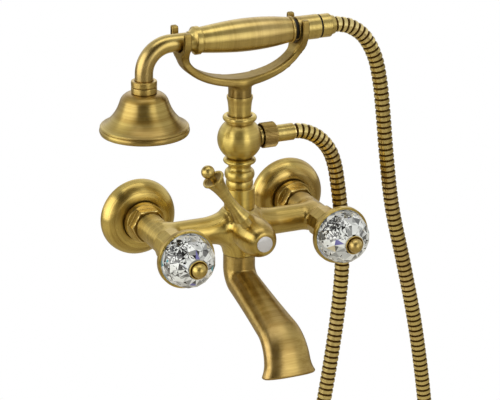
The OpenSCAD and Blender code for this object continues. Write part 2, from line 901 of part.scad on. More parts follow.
module column_outside() {
    upright(0) {
        lathe(concat([[0, boss_top - spigot_l], [spigot_r, boss_top - spigot_l], [spigot_r, foot_z],
                      [foot_r, foot_z], [foot_r, foot_top]],
                     bulge(waist_r, collar_bead_r, foot_top + collar_bead_h, collar_bead_h, bead_steps),
                     bulge(waist_r, bead_r, bead_z, bead_h, bead_steps + 1),
                     [[throat_r, bead_z + bead_h], [throat_r, ring_low - ring_h]],
                     bulge(throat_r, ring_r, ring_low, ring_h, bead_steps),
                     [[0, ring_low + ring_h]]));
        translate([0, 0, ball_z]) sphere(ball_r);
        lathe(concat([[0, ring_high - ring_h]],
                     bulge(throat_r, ring_r, ring_high, ring_h, bead_steps),
                     [[neck_r, ring_high + ring_h + rim_step]],
                     flare([neck_r, ring_high + ring_h + neck_l / 2], [crown_r, neck_top],
                           flare_sweep, bead_steps),
                     [[crown_r, column_top], [0, column_top]]));
    }
    along_x(ball_z) rod(outlet_boss_r, 0, outlet_face);
}

module column() {
    color(brass) difference() {
        column_outside();
        upright(0) {
            rod(column_bore, boss_top - spigot_l - cut, ball_z + column_bore);
            rod(column_bore, column_top - socket_l, column_top + cut);
        }
        along_x(ball_z) {
            rod(outlet_bore, 0, outlet_face);
            rod(outlet_tail_r + fit, outlet_face - outlet_tail_l, outlet_face + cut);
        }
        translate([0, -body_reach, grub_z]) rotate([-90, 0, 0]) rod(grub_r + fit, 0, crown_r);
    }
}

module outlet_nipple() {
    color(brass) along_x(ball_z) difference() {
        union() {
            rod(outlet_tail_r, outlet_face - outlet_tail_l, outlet_face + cut);
            rod(outlet_neck_r, outlet_face, outlet_face + outlet_neck_l + cut);
            rod(hose_thread_r, outlet_face + outlet_neck_l, outlet_face + outlet_l);
        }
        rod(outlet_bore, outlet_face - outlet_tail_l - cut, outlet_face + outlet_l + cut);
    }
}

module hose_nut() {
    n = 2 * hose_nut_teeth;
    teeth = [for (i = [0:n - 1]) let (a = 360 * i / n)
        (hose_nut_r - hose_nut_cut * (i % 2)) * [cos(a), sin(a)]];
    color(brass) along_x(ball_z) difference() {
        translate([0, 0, outlet_face + hose_nut_gap])
            linear_extrude(hose_nut_front - outlet_face - hose_nut_gap) polygon(teeth);
        rod(hose_thread_r + fit, outlet_face, ferrule_seat);
        rod(hose_r + hose_socket + ferrule_wall + fit, ferrule_seat - cut, hose_nut_front + cut);
    }
}

module hose_washer() {
    color(rubber) along_x(ball_z) tube(ferrule_flange_r, outlet_bore, outlet_face + outlet_l, ferrule_back);
}

module hose_ferrule() {
    bore = hose_r + hose_socket;
    stop = hose_route[0].x;
    color(brass) along_x(ball_z)
        lathe([[hose_bore, ferrule_back], [ferrule_flange_r, ferrule_back],
               [ferrule_flange_r, ferrule_seat], [bore + ferrule_wall, ferrule_seat],
               [bore + ferrule_wall, ferrule_end],
               [bore, ferrule_end], [bore, stop], [hose_bore, stop]]);
}

// hose: Catmull-Rom curve through the route, then rings at even distances along it

function spline(p, i, t) =
    let (a = p[max(i - 1, 0)], b = p[i], c = p[i + 1], d = p[min(i + 2, len(p) - 1)])
    0.5 * (2 * b + (c - a) * t + (2 * a - 5 * b + 4 * c - d) * t * t
           + (3 * b - a - 3 * c + d) * t * t * t);

hose_line = concat([for (i = [0:len(hose_route) - 2]) for (k = [0:hose_steps - 1])
                       spline(hose_route, i, k / hose_steps)], [hose_route[len(hose_route) - 1]]);
hose_dist = [for (i = 0, s = 0; i < len(hose_line);
                  s = s + (i + 1 < len(hose_line) ? norm(hose_line[i + 1] - hose_line[i]) : 0),
                  i = i + 1) s];
hose_l = hose_dist[len(hose_dist) - 1];
hose_xs = [for (i = [0:len(hose_line) - 1]) [hose_dist[i], hose_line[i].x]];
hose_zs = [for (i = [0:len(hose_line) - 1]) [hose_dist[i], hose_line[i].y]];
function hose_at(s) = [lookup(s, hose_xs), lookup(s, hose_zs)];

// ring of radius r square to the route at the distance s along it
function hose_ring(s, r) =
    let (c = hose_at(s), step = hose_r / 2,
         v = hose_at(min(s + step, hose_l)) - hose_at(max(s - step, 0)), t = v / norm(v))
    [for (k = [0:hose_sides - 1]) let (a = 360 * (k + 0.5) / hose_sides)
        [c.x - t.y * r * cos(a), -body_reach + r * sin(a), c.y + t.x * r * cos(a)]];

module hose() {
    n = hose_sides;
    bore_rings = floor(hose_ribs / 2);
    last = 2 * hose_ribs;
    outer = [for (i = [0:last]) hose_ring(hose_l * i / last, hose_r - hose_groove * (1 - i % 2))];
    inner = [for (i = [bore_rings:-1:0]) hose_ring(hose_l * i / bore_rings, hose_bore)];
    rings = concat(outer, inner);
    count = len(rings);
    faces = [for (i = [0:count - 1]) for (k = [0:n - 1])
        let (p = i * n + k, q = i * n + (k + 1) % n, u = (i + 1) % count * n + (k + 1) % n,
             v = (i + 1) % count * n + k)
        each [[p, q, u], [p, u, v]]];
    color(dark_brass) polyhedron([for (r = rings) each r], faces);
}

// cradle

// U of two prongs round the handset, square to its axis
module fork(x, seat) {
    tip = prong_w / 2;
    middle = seat + fork_gap / 2;
    translate([x - fork_t / 2, -body_reach, 0]) rotate([90, 0, 90])
    linear_extrude(fork_t) difference() {
        union() {
            intersection() {
                translate([0, middle]) circle(fork_w / 2);
                translate([-fork_w / 2, middle - fork_w]) square(fork_w);
            }
            translate([-fork_w / 2, middle]) square([fork_w, prong_top - tip - middle]);
            for (side = [-1, 1])
                translate([side * (fork_gap + prong_w) / 2, prong_top - tip]) circle(tip);
        }
        translate([0, middle]) circle(fork_gap / 2);
        translate([-fork_gap / 2, middle]) square([fork_gap, prong_top - seat]);
    }
}

// bowed strap whose long edges are arcs, widest in the middle
module strap() {
    edge = sag_radius(strap_x, strap_sag);
    intersection() {
        translate([0, -body_reach + strap_w / 2, 0]) rotate([90, 0, 0])
        linear_extrude(strap_w) difference() {
            translate([0, strap_z]) circle(strap_r, $fn = 96);
            translate([0, strap_z]) circle(strap_r - strap_t, $fn = 96);
            translate([-strap_r - cut, strap_top]) square(2 * strap_r + 2 * cut);
        }
        translate([0, -body_reach, column_top]) linear_extrude(strap_r) intersection() {
            square([2 * strap_x, strap_w + cut], center = true);
            translate([0, strap_w / 2 - edge]) circle(edge, $fn = 360);
            translate([0, edge - strap_w / 2]) circle(edge, $fn = 360);
        }
    }
}

module cradle() {
    color(brass) {
        strap();
        fork(-fork_x, left_seat);
        fork(fork_x, right_seat);
        upright(0) {
            rod(stub_r, column_top, column_top + stub_h + strap_t / 2);
            rod(column_bore - fit, column_top - socket_l + cut, column_top + cut);
        }
    }
}

module cradle_screw() {
    color(steel) translate([0, -body_reach, grub_z]) rotate([-90, 0, 0])
        rod(grub_r, column_bore, neck_r - seat_gap);
}

// handset

// points of a curve from a to c that heads for b at both ends
function bow(a, b, c, n) = [for (i = [0:n])
    let (t = i / n) a * pow(1 - t, 2) + 2 * b * t * (1 - t) + c * t * t];

// outside of the bell: a round shoulder, then a hollow sweep out to the band at the rim
bell_curve = concat(
    [for (i = [0:bell_steps - 1]) let (a = bell_sweep * i / bell_steps)
        [bell_nut_r + (bell_shoulder_r - bell_nut_r) * sin(a) / sin(bell_sweep),
         bell_top - bell_shoulder * (1 - cos(a)) / (1 - cos(bell_sweep))]],
    bow([bell_shoulder_r, bell_top - bell_shoulder], [bell_waist_r, bell_top - bell_waist],
        [bell_r - rim_step, bell_bottom + rim_band], bell_steps));

module bell() {
    seat = bell_bottom + plate_inset + plate_t;
    outside = concat([[elbow_r + fit, bell_top]], bell_curve,
                     [[bell_r - rim_step, bell_bottom + rim_band - rim_step],
                      [bell_r, bell_bottom + rim_band - 2 * rim_step], [bell_r, bell_bottom + rim_step],
                      [bell_r - rim_step, bell_bottom]]);
    inside = concat([[elbow_r + fit, bell_top - bell_neck]],
                    [for (p = bell_curve) [p.x - bell_wall, p.y - bell_neck / 2]]);
    edge = bell_r - rim_step - bell_wall;
    color(brass) upright(bell_x)
        lathe(concat(outside, [[edge, bell_bottom], [edge, seat], [edge - plate_seat, seat],
                               [edge - plate_seat, bell_bottom + rim_band]],
                     [for (i = [len(inside) - 2:-1:0]) inside[i]]));
}

module spray_plate() {
    r = bell_r - rim_step - bell_wall - fit;
    color(dark_brass) upright(bell_x) translate([0, 0, bell_bottom + plate_inset])
        linear_extrude(plate_t) difference() {
            circle(r);
            for (ring = [1:nozzle_rings]) for (k = [1:nozzle_first * ring])
                rotate(360 * k / (nozzle_first * ring)) translate([ring * nozzle_step, 0]) circle(nozzle_r);
        }
}

module neck_band(low, high) {
    upright(bell_x)
        lathe([[elbow_r + fit, low], [bell_nut_r - bell_groove, low], [bell_nut_r, low + bell_groove],
               [bell_nut_r, high - bell_groove], [bell_nut_r - bell_groove, high], [elbow_r + fit, high]]);
}

module bell_nut() {
    color(brass) neck_band(bell_top, bell_top + bell_band);
}

module bell_ring() {
    color(brass) neck_band(bell_top + bell_band, bell_top + 2 * bell_band);
}

module elbow_run(r, extra) {
    along_x(handset_z) rod(r, bell_x + elbow_bend, grip_x - tube_lap + extra);
    translate([bell_x + elbow_bend, -body_reach, handset_z - elbow_bend]) rotate([90, 0, 0])
        rotate([0, 0, 90]) rotate_extrude(angle = 90) translate([elbow_bend, 0]) circle(r);
    upright(bell_x) rod(r, bell_top - bell_neck - extra, handset_z - elbow_bend);
}

module elbow() {
    color(brass) difference() {
        elbow_run(elbow_r, 0);
        elbow_run(elbow_bore, cut);
    }
}

module grip_collar() {
    color(brass) along_x(handset_z)
        lathe(concat([[elbow_r + fit, collar_x]],
                     flare([elbow_r + rim_step, collar_x], [collar_r, grip_x - collar_band],
                           flare_sweep, bead_steps),
                     [[collar_r, grip_x - rim_step], [collar_r - rim_step, grip_x],
                      [elbow_r + fit, grip_x]]));
}

module grip_tube() {
    color(brass) along_x(handset_z) tube(elbow_r, elbow_bore, grip_x - tube_lap, connector_x + tube_socket);
}

module grip() {
    mid = (grip_x + grip_end_x) / 2;
    color(brass) along_x(handset_z)
        lathe(concat([[elbow_r + fit, grip_x]],
                     [for (i = [0:grip_steps])
                         [grip_left_r + (grip_r - grip_left_r) * sin(90 * i / grip_steps),
                          grip_x + (mid - grip_x) * i / grip_steps]],
                     [for (i = [1:grip_steps])
                         [grip_right_r + (grip_r - grip_right_r) * cos(90 * i / grip_steps),
                          mid + (grip_end_x - mid) * i / grip_steps]],
                     [[elbow_r + fit, grip_end_x]]));
}

module grip_ring() {
    color(rubber) along_x(handset_z) tube(grip_ring_r, elbow_r + fit, grip_end_x, connector_x);
}

module connector() {
    color(brass) along_x(handset_z) difference() {
        lathe([[0, connector_x], [connector_r, connector_x], [connector_r, connector_end - rim_step],
               [connector_r - rim_step, connector_end], [0, connector_end]]);
        rod(elbow_r + fit, connector_x - cut, connector_x + tube_socket);
        rod(handset_bore, connector_x, connector_end);
        rod(handset_thread_r + fit, cone_back - handset_washer_t, connector_end + cut);
    }
}

module handset_washer() {
    color(rubber) along_x(handset_z)
        tube(handset_thread_r - seat_gap, handset_bore, cone_back - handset_washer_t, cone_back);
}

module hose_cone() {
    socket = hose_r + hose_socket;
    color(brass) along_x(handset_z)
        lathe([[hose_bore, cone_back], [handset_thread_r, cone_back], [handset_thread_r, connector_end],
               [cone_r, connector_end], [cone_r, connector_end + cone_band],
               [cone_tip_r, connector_end + cone_l], [socket, connector_end + cone_l],
               [socket, hose_end_x], [hose_bore, hose_end_x]]);
}

// pieces that both inlets share

module hot_union() { color(brass) inlet(-1) eccentric_union(); }
module hot_escutcheon() { color(brass) inlet(-1) escutcheon(); }
module hot_union_nut() { color(brass) inlet(-1) union_nut(); }
module hot_inlet_washer() { color(rubber) inlet(-1) inlet_washer(); }
module hot_headwork() { color(brass) inlet(-1) headwork(); }
module hot_headwork_washer() { color(rubber) inlet(-1) headwork_washer(); }
module hot_shroud() { color(brass) inlet(-1) shroud(); }
module hot_spindle() { color(brass) inlet(-1) valve_spindle(); }
module hot_cup() { color(brass) inlet(-1) cup(); }
module hot_crystal() { color(glass) inlet(-1) crystal(); }
module hot_finial() { color(brass) inlet(-1) finial(); }

module cold_union() { color(brass) inlet(1) eccentric_union(); }
module cold_escutcheon() { color(brass) inlet(1) escutcheon(); }
module cold_union_nut() { color(brass) inlet(1) union_nut(); }
module cold_inlet_washer() { color(rubber) inlet(1) inlet_washer(); }
module cold_headwork() { color(brass) inlet(1) headwork(); }
module cold_headwork_washer() { color(rubber) inlet(1) headwork_washer(); }
module cold_shroud() { color(brass) inlet(1) shroud(); }
module cold_spindle() { color(brass) inlet(1) valve_spindle(); }
module cold_cup() { color(brass) inlet(1) cup(); }
module cold_crystal() { color(glass) inlet(1) crystal(); }
module cold_finial() { color(brass) inlet(1) finial(); }

hot_union();
hot_escutcheon();
hot_union_nut();
hot_inlet_washer();
hot_headwork();
hot_headwork_washer();
hot_shroud();
hot_spindle();
hot_cup();
hot_crystal();
hot_finial();
cold_union();
cold_escutcheon();
cold_union_nut();
cold_inlet_washer();
cold_headwork();
cold_headwork_washer();
cold_shroud();
cold_spindle();
cold_cup();
cold_crystal();
cold_finial();
mixer_body();
diverter_cartridge();
diverter_spindle();
diverter_hub();
hub_screw();
index_button();
lever();
lever_ball();
spout_nipple();
spout_seal();
spout();
flow_straightener();
column_seal();
column();
outlet_nipple();
hose_nut();
hose_washer();
hose_ferrule();
hose();
cradle();
cradle_screw();
bell();
spray_plate();
bell_nut();
bell_ring();
elbow();
grip_collar();
grip_tube();
grip();
grip_ring();
connector();
handset_washer();
hose_cone();
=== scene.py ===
# %% [markdown]
# # A bath shower mixer in antique brass
# This lesson dresses a wall-mounted mixer: two cut-crystal handles, a lever that sends the water up
# or down, a swan spout, and a telephone handset in a forked cradle with its ribbed hose.
# The solids come first, as a frame that is already the right size. Everything made here sits on it.

# %% The frame
import json
import math

import bmesh
import bpy
import numpy as np
from mathutils import Matrix, Vector

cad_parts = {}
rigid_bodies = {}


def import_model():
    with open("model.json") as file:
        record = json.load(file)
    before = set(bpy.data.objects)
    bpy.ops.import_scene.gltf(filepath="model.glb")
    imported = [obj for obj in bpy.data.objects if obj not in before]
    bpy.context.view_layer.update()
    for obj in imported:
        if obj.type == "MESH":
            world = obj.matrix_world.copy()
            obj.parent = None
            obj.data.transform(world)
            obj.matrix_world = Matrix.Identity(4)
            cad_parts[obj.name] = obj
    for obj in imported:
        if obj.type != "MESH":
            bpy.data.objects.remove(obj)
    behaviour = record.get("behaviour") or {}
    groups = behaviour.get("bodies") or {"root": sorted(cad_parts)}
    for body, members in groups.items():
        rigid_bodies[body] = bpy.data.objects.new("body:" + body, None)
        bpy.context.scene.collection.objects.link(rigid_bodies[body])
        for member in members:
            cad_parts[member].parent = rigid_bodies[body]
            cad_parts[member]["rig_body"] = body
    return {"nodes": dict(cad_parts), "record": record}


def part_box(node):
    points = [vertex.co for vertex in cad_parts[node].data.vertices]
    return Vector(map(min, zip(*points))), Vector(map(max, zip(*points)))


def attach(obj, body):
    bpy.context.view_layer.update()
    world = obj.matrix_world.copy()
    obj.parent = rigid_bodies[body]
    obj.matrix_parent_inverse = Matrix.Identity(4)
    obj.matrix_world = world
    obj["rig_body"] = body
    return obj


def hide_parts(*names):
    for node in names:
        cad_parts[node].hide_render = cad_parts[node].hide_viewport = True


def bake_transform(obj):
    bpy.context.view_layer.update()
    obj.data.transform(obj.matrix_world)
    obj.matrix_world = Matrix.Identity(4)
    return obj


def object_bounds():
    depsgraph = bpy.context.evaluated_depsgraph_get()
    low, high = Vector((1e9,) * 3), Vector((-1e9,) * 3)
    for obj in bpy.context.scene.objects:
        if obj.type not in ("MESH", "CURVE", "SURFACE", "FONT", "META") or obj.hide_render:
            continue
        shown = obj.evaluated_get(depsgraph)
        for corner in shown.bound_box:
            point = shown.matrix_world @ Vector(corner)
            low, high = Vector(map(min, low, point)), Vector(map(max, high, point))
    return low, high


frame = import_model()
cad_low, cad_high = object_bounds()
nodes = frame["nodes"]
slots = {part["node"]: part["material_slot"] for part in frame["record"]["subparts"]}
MM = 0.001
OUT = 62  # mm from the wall to the crossbar, the column and the handset
REACH = -OUT * MM
INLET = 75  # mm from the middle to each inlet, its valve and its handle
HANDLES = {"hot": -INLET, "cold": INLET}
print(len(nodes), "solids, box in mm:", [round(v / MM) for v in cad_high - cad_low])

# %% [markdown]
# ## Camera
# The photograph is a catalogue shot from the left and a little above, with a long lens. The inlets are
# 150 mm apart on a real mixer, so the angle, the distance and the lens follow from where both handles,
# the spout and the handset lie in the picture. The shift puts the wall's middle left of the centre.

# %% Camera
AZIMUTH, ELEVATION, DISTANCE, LENS = math.radians(-23.23), math.radians(20.25), 1.9996, 154.6
camera = bpy.data.objects.new("camera", bpy.data.cameras.new("camera"))
bpy.context.scene.collection.objects.link(camera)
back = Vector((math.sin(AZIMUTH) * math.cos(ELEVATION),
               -math.cos(AZIMUTH) * math.cos(ELEVATION), math.sin(ELEVATION)))
camera.location = back * DISTANCE
camera.rotation_euler = (-back).to_track_quat("-Z", "Y").to_euler()
camera.data.sensor_width, camera.data.lens = 36, LENS
camera.data.shift_x, camera.data.shift_y = 0.0755, 0.0093
bpy.context.scene.camera = camera
print("camera at", [round(v, 3) for v in camera.location])

# %% [markdown]
# ## Hose
# A shower hose is a strip of brass wound into ribs that slide in each other. It leaves the side of the
# column, hangs in a loop and comes up into the handset. A curve with a bevel could only give a plain
# tube, so Geometry Nodes sweep a circle along the route and pull its radius in at every groove. The same
# tree with no groove makes the handset's elbow later. The groove is kept as an attribute, so that the
# material can paint shade into it.

# %% Helpers for node trees
def add(tree, kind, **settings):
    """A new node with its settings."""
    node = tree.nodes.new(kind)
    for key, value in settings.items():
        setattr(node, key, value)
    return node


def feed(tree, socket, value):
    """Links another node's output to a socket, or sets the socket's own value."""
    if isinstance(value, bpy.types.NodeSocket):
        tree.links.new(value, socket)
    else:
        socket.default_value = value


def calc(tree, operation, *values):
    """One step of arithmetic on sockets or numbers."""
    node = add(tree, "ShaderNodeMath", operation=operation)
    for socket, value in zip(node.inputs, values):
        feed(tree, socket, value)
    return node.outputs[0]


def remap(tree, value, low, high, to_low, to_high, kind="LINEAR"):
    """Maps a value from one range to another."""
    node = add(tree, "ShaderNodeMapRange", interpolation_type=kind)
    for socket, given in zip(node.inputs, (value, low, high, to_low, to_high)):
        feed(tree, socket, given)
    return node.outputs[0]


def group_of(kind, name, inputs, outputs):
    """A new node group with its named sockets: the group, its inputs by name and its output node's sockets."""
    group = bpy.data.node_groups.new(name, kind)
    for label, socket_type, value in inputs:
        socket = group.interface.new_socket(label, in_out="INPUT", socket_type=socket_type)
        if value is not None:
            socket.default_value = value
    for label, socket_type in outputs:
        group.interface.new_socket(label, in_out="OUTPUT", socket_type=socket_type)
    return group, add(group, "NodeGroupInput").outputs, add(group, "NodeGroupOutput").inputs


def grown(name, points, tree, edges=(), **inputs):
    """Runs a geometry tree on some points and returns the result as a plain mesh."""
    mesh = bpy.data.meshes.new(name)
    mesh.from_pydata([tuple(p) for p in points], list(edges), [])
    host = bpy.data.objects.new(name + "_host", mesh)
    bpy.context.scene.collection.objects.link(host)
    modifier = host.modifiers.new("tree", "NODES")
    modifier.node_group = tree
    for item in tree.interface.items_tree:
        if item.in_out == "INPUT" and item.name in inputs:
            modifier[item.identifier] = inputs[item.name]
    depsgraph = bpy.context.evaluated_depsgraph_get()
    made = bpy.data.meshes.new_from_object(host.evaluated_get(depsgraph))
    made.name = name
    bpy.data.objects.remove(host)
    return made


print("node helpers:", [helper.__name__ for helper in (add, feed, calc, remap, group_of, grown)])

# %% The tube tree
FLOAT, INTEGER = "NodeSocketFloat", "NodeSocketInt"
tube_tree, given, made = group_of("GeometryNodeTree", "tube along a path", [
    ("Path", "NodeSocketGeometry", None), ("Radius", FLOAT, 0.007), ("Pitch", FLOAT, 0.005),
    ("Depth", FLOAT, 0.0), ("Crown", FLOAT, 0.0), ("Groove", FLOAT, 0.3), ("Step", FLOAT, 0.001),
    ("Sides", INTEGER, 24), ("Finish", "NodeSocketMaterial", None)], [("Tube", "NodeSocketGeometry")])
line = add(tube_tree, "GeometryNodeMeshToCurve")
even = add(tube_tree, "GeometryNodeResampleCurve", mode="LENGTH")
feed(tube_tree, line.inputs["Mesh"], given["Path"])
feed(tube_tree, even.inputs["Curve"], line.outputs[0])
feed(tube_tree, even.inputs["Length"], given["Step"])
along = add(tube_tree, "GeometryNodeSplineParameter").outputs["Length"]
phase = calc(tube_tree, "FRACT", calc(tube_tree, "DIVIDE", along, given["Pitch"]))
off_rib = calc(tube_tree, "MULTIPLY", calc(tube_tree, "ABSOLUTE", calc(tube_tree, "SUBTRACT", phase, 0.5)), 2.0)
brink = calc(tube_tree, "SUBTRACT", 1.0, given["Groove"])
groove = remap(tube_tree, off_rib, brink, calc(tube_tree, "MULTIPLY_ADD", given["Groove"], 0.5, brink), 0.0, 1.0,
               "SMOOTHSTEP")
cut = calc(tube_tree, "MULTIPLY_ADD", groove, given["Depth"],
           calc(tube_tree, "MULTIPLY", calc(tube_tree, "MULTIPLY", off_rib, off_rib), given["Crown"]))
noted = add(tube_tree, "GeometryNodeStoreNamedAttribute", data_type="FLOAT", domain="POINT")
feed(tube_tree, noted.inputs["Geometry"], even.outputs[0])
feed(tube_tree, noted.inputs["Name"], "groove")
feed(tube_tree, noted.inputs["Value"], groove)
ring = add(tube_tree, "GeometryNodeCurvePrimitiveCircle")
feed(tube_tree, ring.inputs["Resolution"], given["Sides"])
feed(tube_tree, ring.inputs["Radius"], 1.0)
sweep = add(tube_tree, "GeometryNodeCurveToMesh")
feed(tube_tree, sweep.inputs["Curve"], noted.outputs[0])
feed(tube_tree, sweep.inputs["Profile Curve"], ring.outputs["Curve"])
feed(tube_tree, sweep.inputs["Scale"], calc(tube_tree, "SUBTRACT", given["Radius"], cut))
feed(tube_tree, sweep.inputs["Fill Caps"], True)
plain = add(tube_tree, "GeometryNodeRealizeInstances")
feed(tube_tree, plain.inputs["Geometry"], sweep.outputs[0])
finished = add(tube_tree, "GeometryNodeSetMaterial")
feed(tube_tree, finished.inputs["Geometry"], plain.outputs[0])
feed(tube_tree, finished.inputs["Material"], given["Finish"])
feed(tube_tree, made["Tube"], finished.outputs[0])
print("tube tree:", len(tube_tree.nodes), "nodes")

# %% The hose on its route
HOSE_ROUTE = [
    (38, 84), (52, 84), (57, 83.9), (67, 81.3), (79, 74), (89, 62), (95, 47), (98.5, 29), (101.5, 8),
    (104.5, -20), (105, -58), (101.5, -104), (94.5, -156), (86, -210), (77.5, -266), (71.5, -322), (69, -376),
    (69, -424), (74, -469), (89, -506), (113, -530), (144, -538), (175, -529), (199, -504), (212, -466),
    (216, -420), (215, -366), (210, -310), (203, -250), (195, -188), (184, -124), (170.5, -64), (156.5, -6),
    (149, 44), (143.5, 92), (139.5, 121), (133.5, 145), (122.5, 164.5), (108.5, 175.5), (96, 179.1),
    (91, 179.5), (79, 179.5)]
HOSE_RADIUS, RIB, HOSE_SIDES = 7 * MM, 5.48 * MM, 20


def smooth(points, steps):
    """Points of a Catmull-Rom curve through pairs of numbers."""
    p, made = np.array(points, float), []
    for i in range(len(p) - 1):
        a, b, c, d = p[max(i - 1, 0)], p[i], p[i + 1], p[min(i + 2, len(p) - 1)]
        for t in np.arange(steps) / steps:
            made.append(0.5 * (2 * b + (c - a) * t + (2 * a - 5 * b + 4 * c - d) * t ** 2
                               + (3 * b - a - 3 * c + d) * t ** 3))
    return [tuple(q) for q in made] + [tuple(p[-1])]


hose_path = [(x * MM, REACH, z * MM) for x, z in smooth(HOSE_ROUTE, 8)]
hose_brass = bpy.data.materials.new("hose brass")
hose_mesh = grown("ribbed_hose", hose_path, tube_tree, [(i, i + 1) for i in range(len(hose_path) - 1)],
                  Radius=HOSE_RADIUS, Pitch=RIB, Depth=0.9 * MM, Crown=0.06 * MM, Groove=0.5,
                  Step=RIB / 13, Sides=HOSE_SIDES, Finish=hose_brass)
# The normals point straight out from each ring, so the grooves get no shade from their slopes; the hose material
# paints their shade instead.
rings = np.empty(3 * len(hose_mesh.vertices))
hose_mesh.vertices.foreach_get("co", rings)
rings = rings.reshape(-1, HOSE_SIDES, 3)
outward = (rings - rings.mean(axis=1, keepdims=True)).reshape(-1, 3)
hose_mesh.shade_smooth()
hose_mesh.normals_split_custom_set_from_vertices([tuple(n / np.linalg.norm(n)) for n in outward])
hose = bpy.data.objects.new("ribbed_hose", hose_mesh)
bpy.context.scene.collection.objects.link(hose)
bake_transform(hose)
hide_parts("hose")

# %% [markdown]
# ## Studio
# Polished metal is only as good as what it reflects. A large soft box stands on the left, a narrow one on
# the right, a third hangs overhead and a weak one lights the back. The world above the camera stays dim,
# which gives the bell its dark middle between two bright bands. A picture of a studio as the world would do
# as well, but the script reads no picture, so a dim spot in a pale world stands in for it. The floor is plain
# and pale, and shows pure white to the camera as in the photograph.

# %% Floor
floor_mesh = bpy.data.meshes.new("floor")
HALF, FLOOR_Z = 30, cad_low.z - 0.06
floor_mesh.from_pydata([(-HALF, -HALF, FLOOR_Z), (HALF, -HALF, FLOOR_Z), (HALF, HALF, FLOOR_Z),
                        (-HALF, HALF, FLOOR_Z)], [], [(0, 1, 2, 3)])
floor = bpy.data.objects.new("floor", floor_mesh)
bpy.context.scene.collection.objects.link(floor)
floor_paint = bpy.data.materials.new("floor paint")
floor_paint.use_nodes = True
tree = floor_paint.node_tree
tree.nodes.clear()
seen = add(tree, "ShaderNodeLightPath").outputs["Is Camera Ray"]
matt, glow = add(tree, "ShaderNodeBsdfDiffuse"), add(tree, "ShaderNodeEmission")
matt.inputs["Color"].default_value = (0.55, 0.50, 0.40, 1)
mix = add(tree, "ShaderNodeMixShader")
feed(tree, mix.inputs[0], seen)
feed(tree, mix.inputs[1], matt.outputs[0])
feed(tree, mix.inputs[2], glow.outputs[0])
feed(tree, add(tree, "ShaderNodeOutputMaterial").inputs["Surface"], mix.outputs[0])
floor_mesh.materials.append(floor_paint)
print("floor at", round(FLOOR_Z, 3))

# %% World
DIM_SIDE = Vector((math.sin(math.radians(-27)), -math.cos(math.radians(-27)), 0.85)).normalized()
DIM_EDGE, DIM_HEART = (math.cos(math.radians(degrees)) for degrees in (42, 26))
world = bpy.data.worlds.new("studio")
bpy.context.scene.world = world
world.use_nodes = True
tree = world.node_tree
tree.nodes.clear()
out = add(tree, "ShaderNodeTexCoord").outputs["Generated"]
front = add(tree, "ShaderNodeVectorMath", operation="DOT_PRODUCT")
feed(tree, front.inputs[0], out)
feed(tree, front.inputs[1], DIM_SIDE)
shade = add(tree, "ShaderNodeValToRGB")
feed(tree, shade.inputs[0], remap(tree, front.outputs["Value"], DIM_EDGE, DIM_HEART, 0.0, 1.0, "SMOOTHSTEP"))
for stop, colour in zip(shade.color_ramp.elements, ((1.0, 0.99, 0.96, 1), (0.06, 0.04, 0.01, 1))):
    stop.color = colour
height = add(tree, "ShaderNodeSeparateXYZ")
feed(tree, height.inputs[0], out)
sky, white = add(tree, "ShaderNodeBackground"), add(tree, "ShaderNodeBackground")
feed(tree, sky.inputs["Color"], shade.outputs[0])
feed(tree, sky.inputs["Strength"], remap(tree, height.outputs["Z"], 0.15, 0.9, 0.88, 0.56))
mix = add(tree, "ShaderNodeMixShader")
feed(tree, mix.inputs[0], add(tree, "ShaderNodeLightPath").outputs["Is Camera Ray"])
feed(tree, mix.inputs[1], sky.outputs[0])
feed(tree, mix.inputs[2], white.outputs[0])
white.inputs["Color"].default_value = (1, 1, 1, 1)
feed(tree, add(tree, "ShaderNodeOutputWorld").inputs["Surface"], mix.outputs[0])
bpy.context.scene.view_settings.view_transform = "Standard"
print("dim side of the world:", [round(v, 2) for v in DIM_SIDE])

# %% Soft boxes
def soft_box(name, azimuth, elevation, distance, width, height, power):
    """A rectangular lamp round the object that faces its middle."""
    lamp = bpy.data.lights.new(name, "AREA")
    lamp.shape, lamp.size, lamp.size_y, lamp.energy = "RECTANGLE", width, height, power
    lamp.color = (1.0, 0.985, 0.95)
    box = bpy.data.objects.new(name, lamp)
    bpy.context.scene.collection.objects.link(box)
    a, e = math.radians(azimuth), math.radians(elevation)
    out = Vector((math.sin(a) * math.cos(e), -math.cos(a) * math.cos(e), math.sin(e)))
    box.location = out * distance + Vector((0, -0.06, 0.03))
    box.rotation_euler = out.to_track_quat("Z", "Y").to_euler()
    return box


soft_box("left_box", -88, 14, 1.7, 2.0, 1.7, 19)
soft_box("right_box", 15, 12, 1.9, 0.9, 1.5, 6)
soft_box("top_box", 0, 84, 1.6, 1.6, 0.7, 6)
soft_box("back_box", 160, 30, 2.2, 1.6, 1.4, 3)

# %% [markdown]
# ## Finishes
# Antique brass is plated dark, brushed until the high places shine, and lacquered. Two effects make
# that, and every brass uses both, so each is a shader node group. The first draws the brush lines, which
# run round a turned piece, along a drawn one. The second mixes the bright and the bronzed tone by those
# lines and by slow clouds, and lets the dark tone stay in the corners: patina where a brush can't reach,
# and painted shade where one piece comes close to another.

# %% Brush lines
brush_lines, given, made = group_of("ShaderNodeTree", "brush lines", [
    ("Axis", "NodeSocketVector", (0, 0, 1)), ("Along", FLOAT, 900.0), ("Across", FLOAT, 14.0)],
    [("Lines", FLOAT), ("Bands", FLOAT)])


def vector_step(tree, operation, a, b, out=0):
    """One step of vector arithmetic."""
    node = add(tree, "ShaderNodeVectorMath", operation=operation)
    feed(tree, node.inputs[0], a)
    feed(tree, node.inputs[3 if operation == "SCALE" else 1], b)
    return node.outputs[out]


def noise(tree, vector, scale, detail, roughness):
    """A noise texture's grey value."""
    node = add(tree, "ShaderNodeTexNoise")
    feed(tree, node.inputs["Vector"], vector)
    for label, value in (("Scale", scale), ("Detail", detail), ("Roughness", roughness)):
        feed(tree, node.inputs[label], value)
    return node.outputs["Fac"]


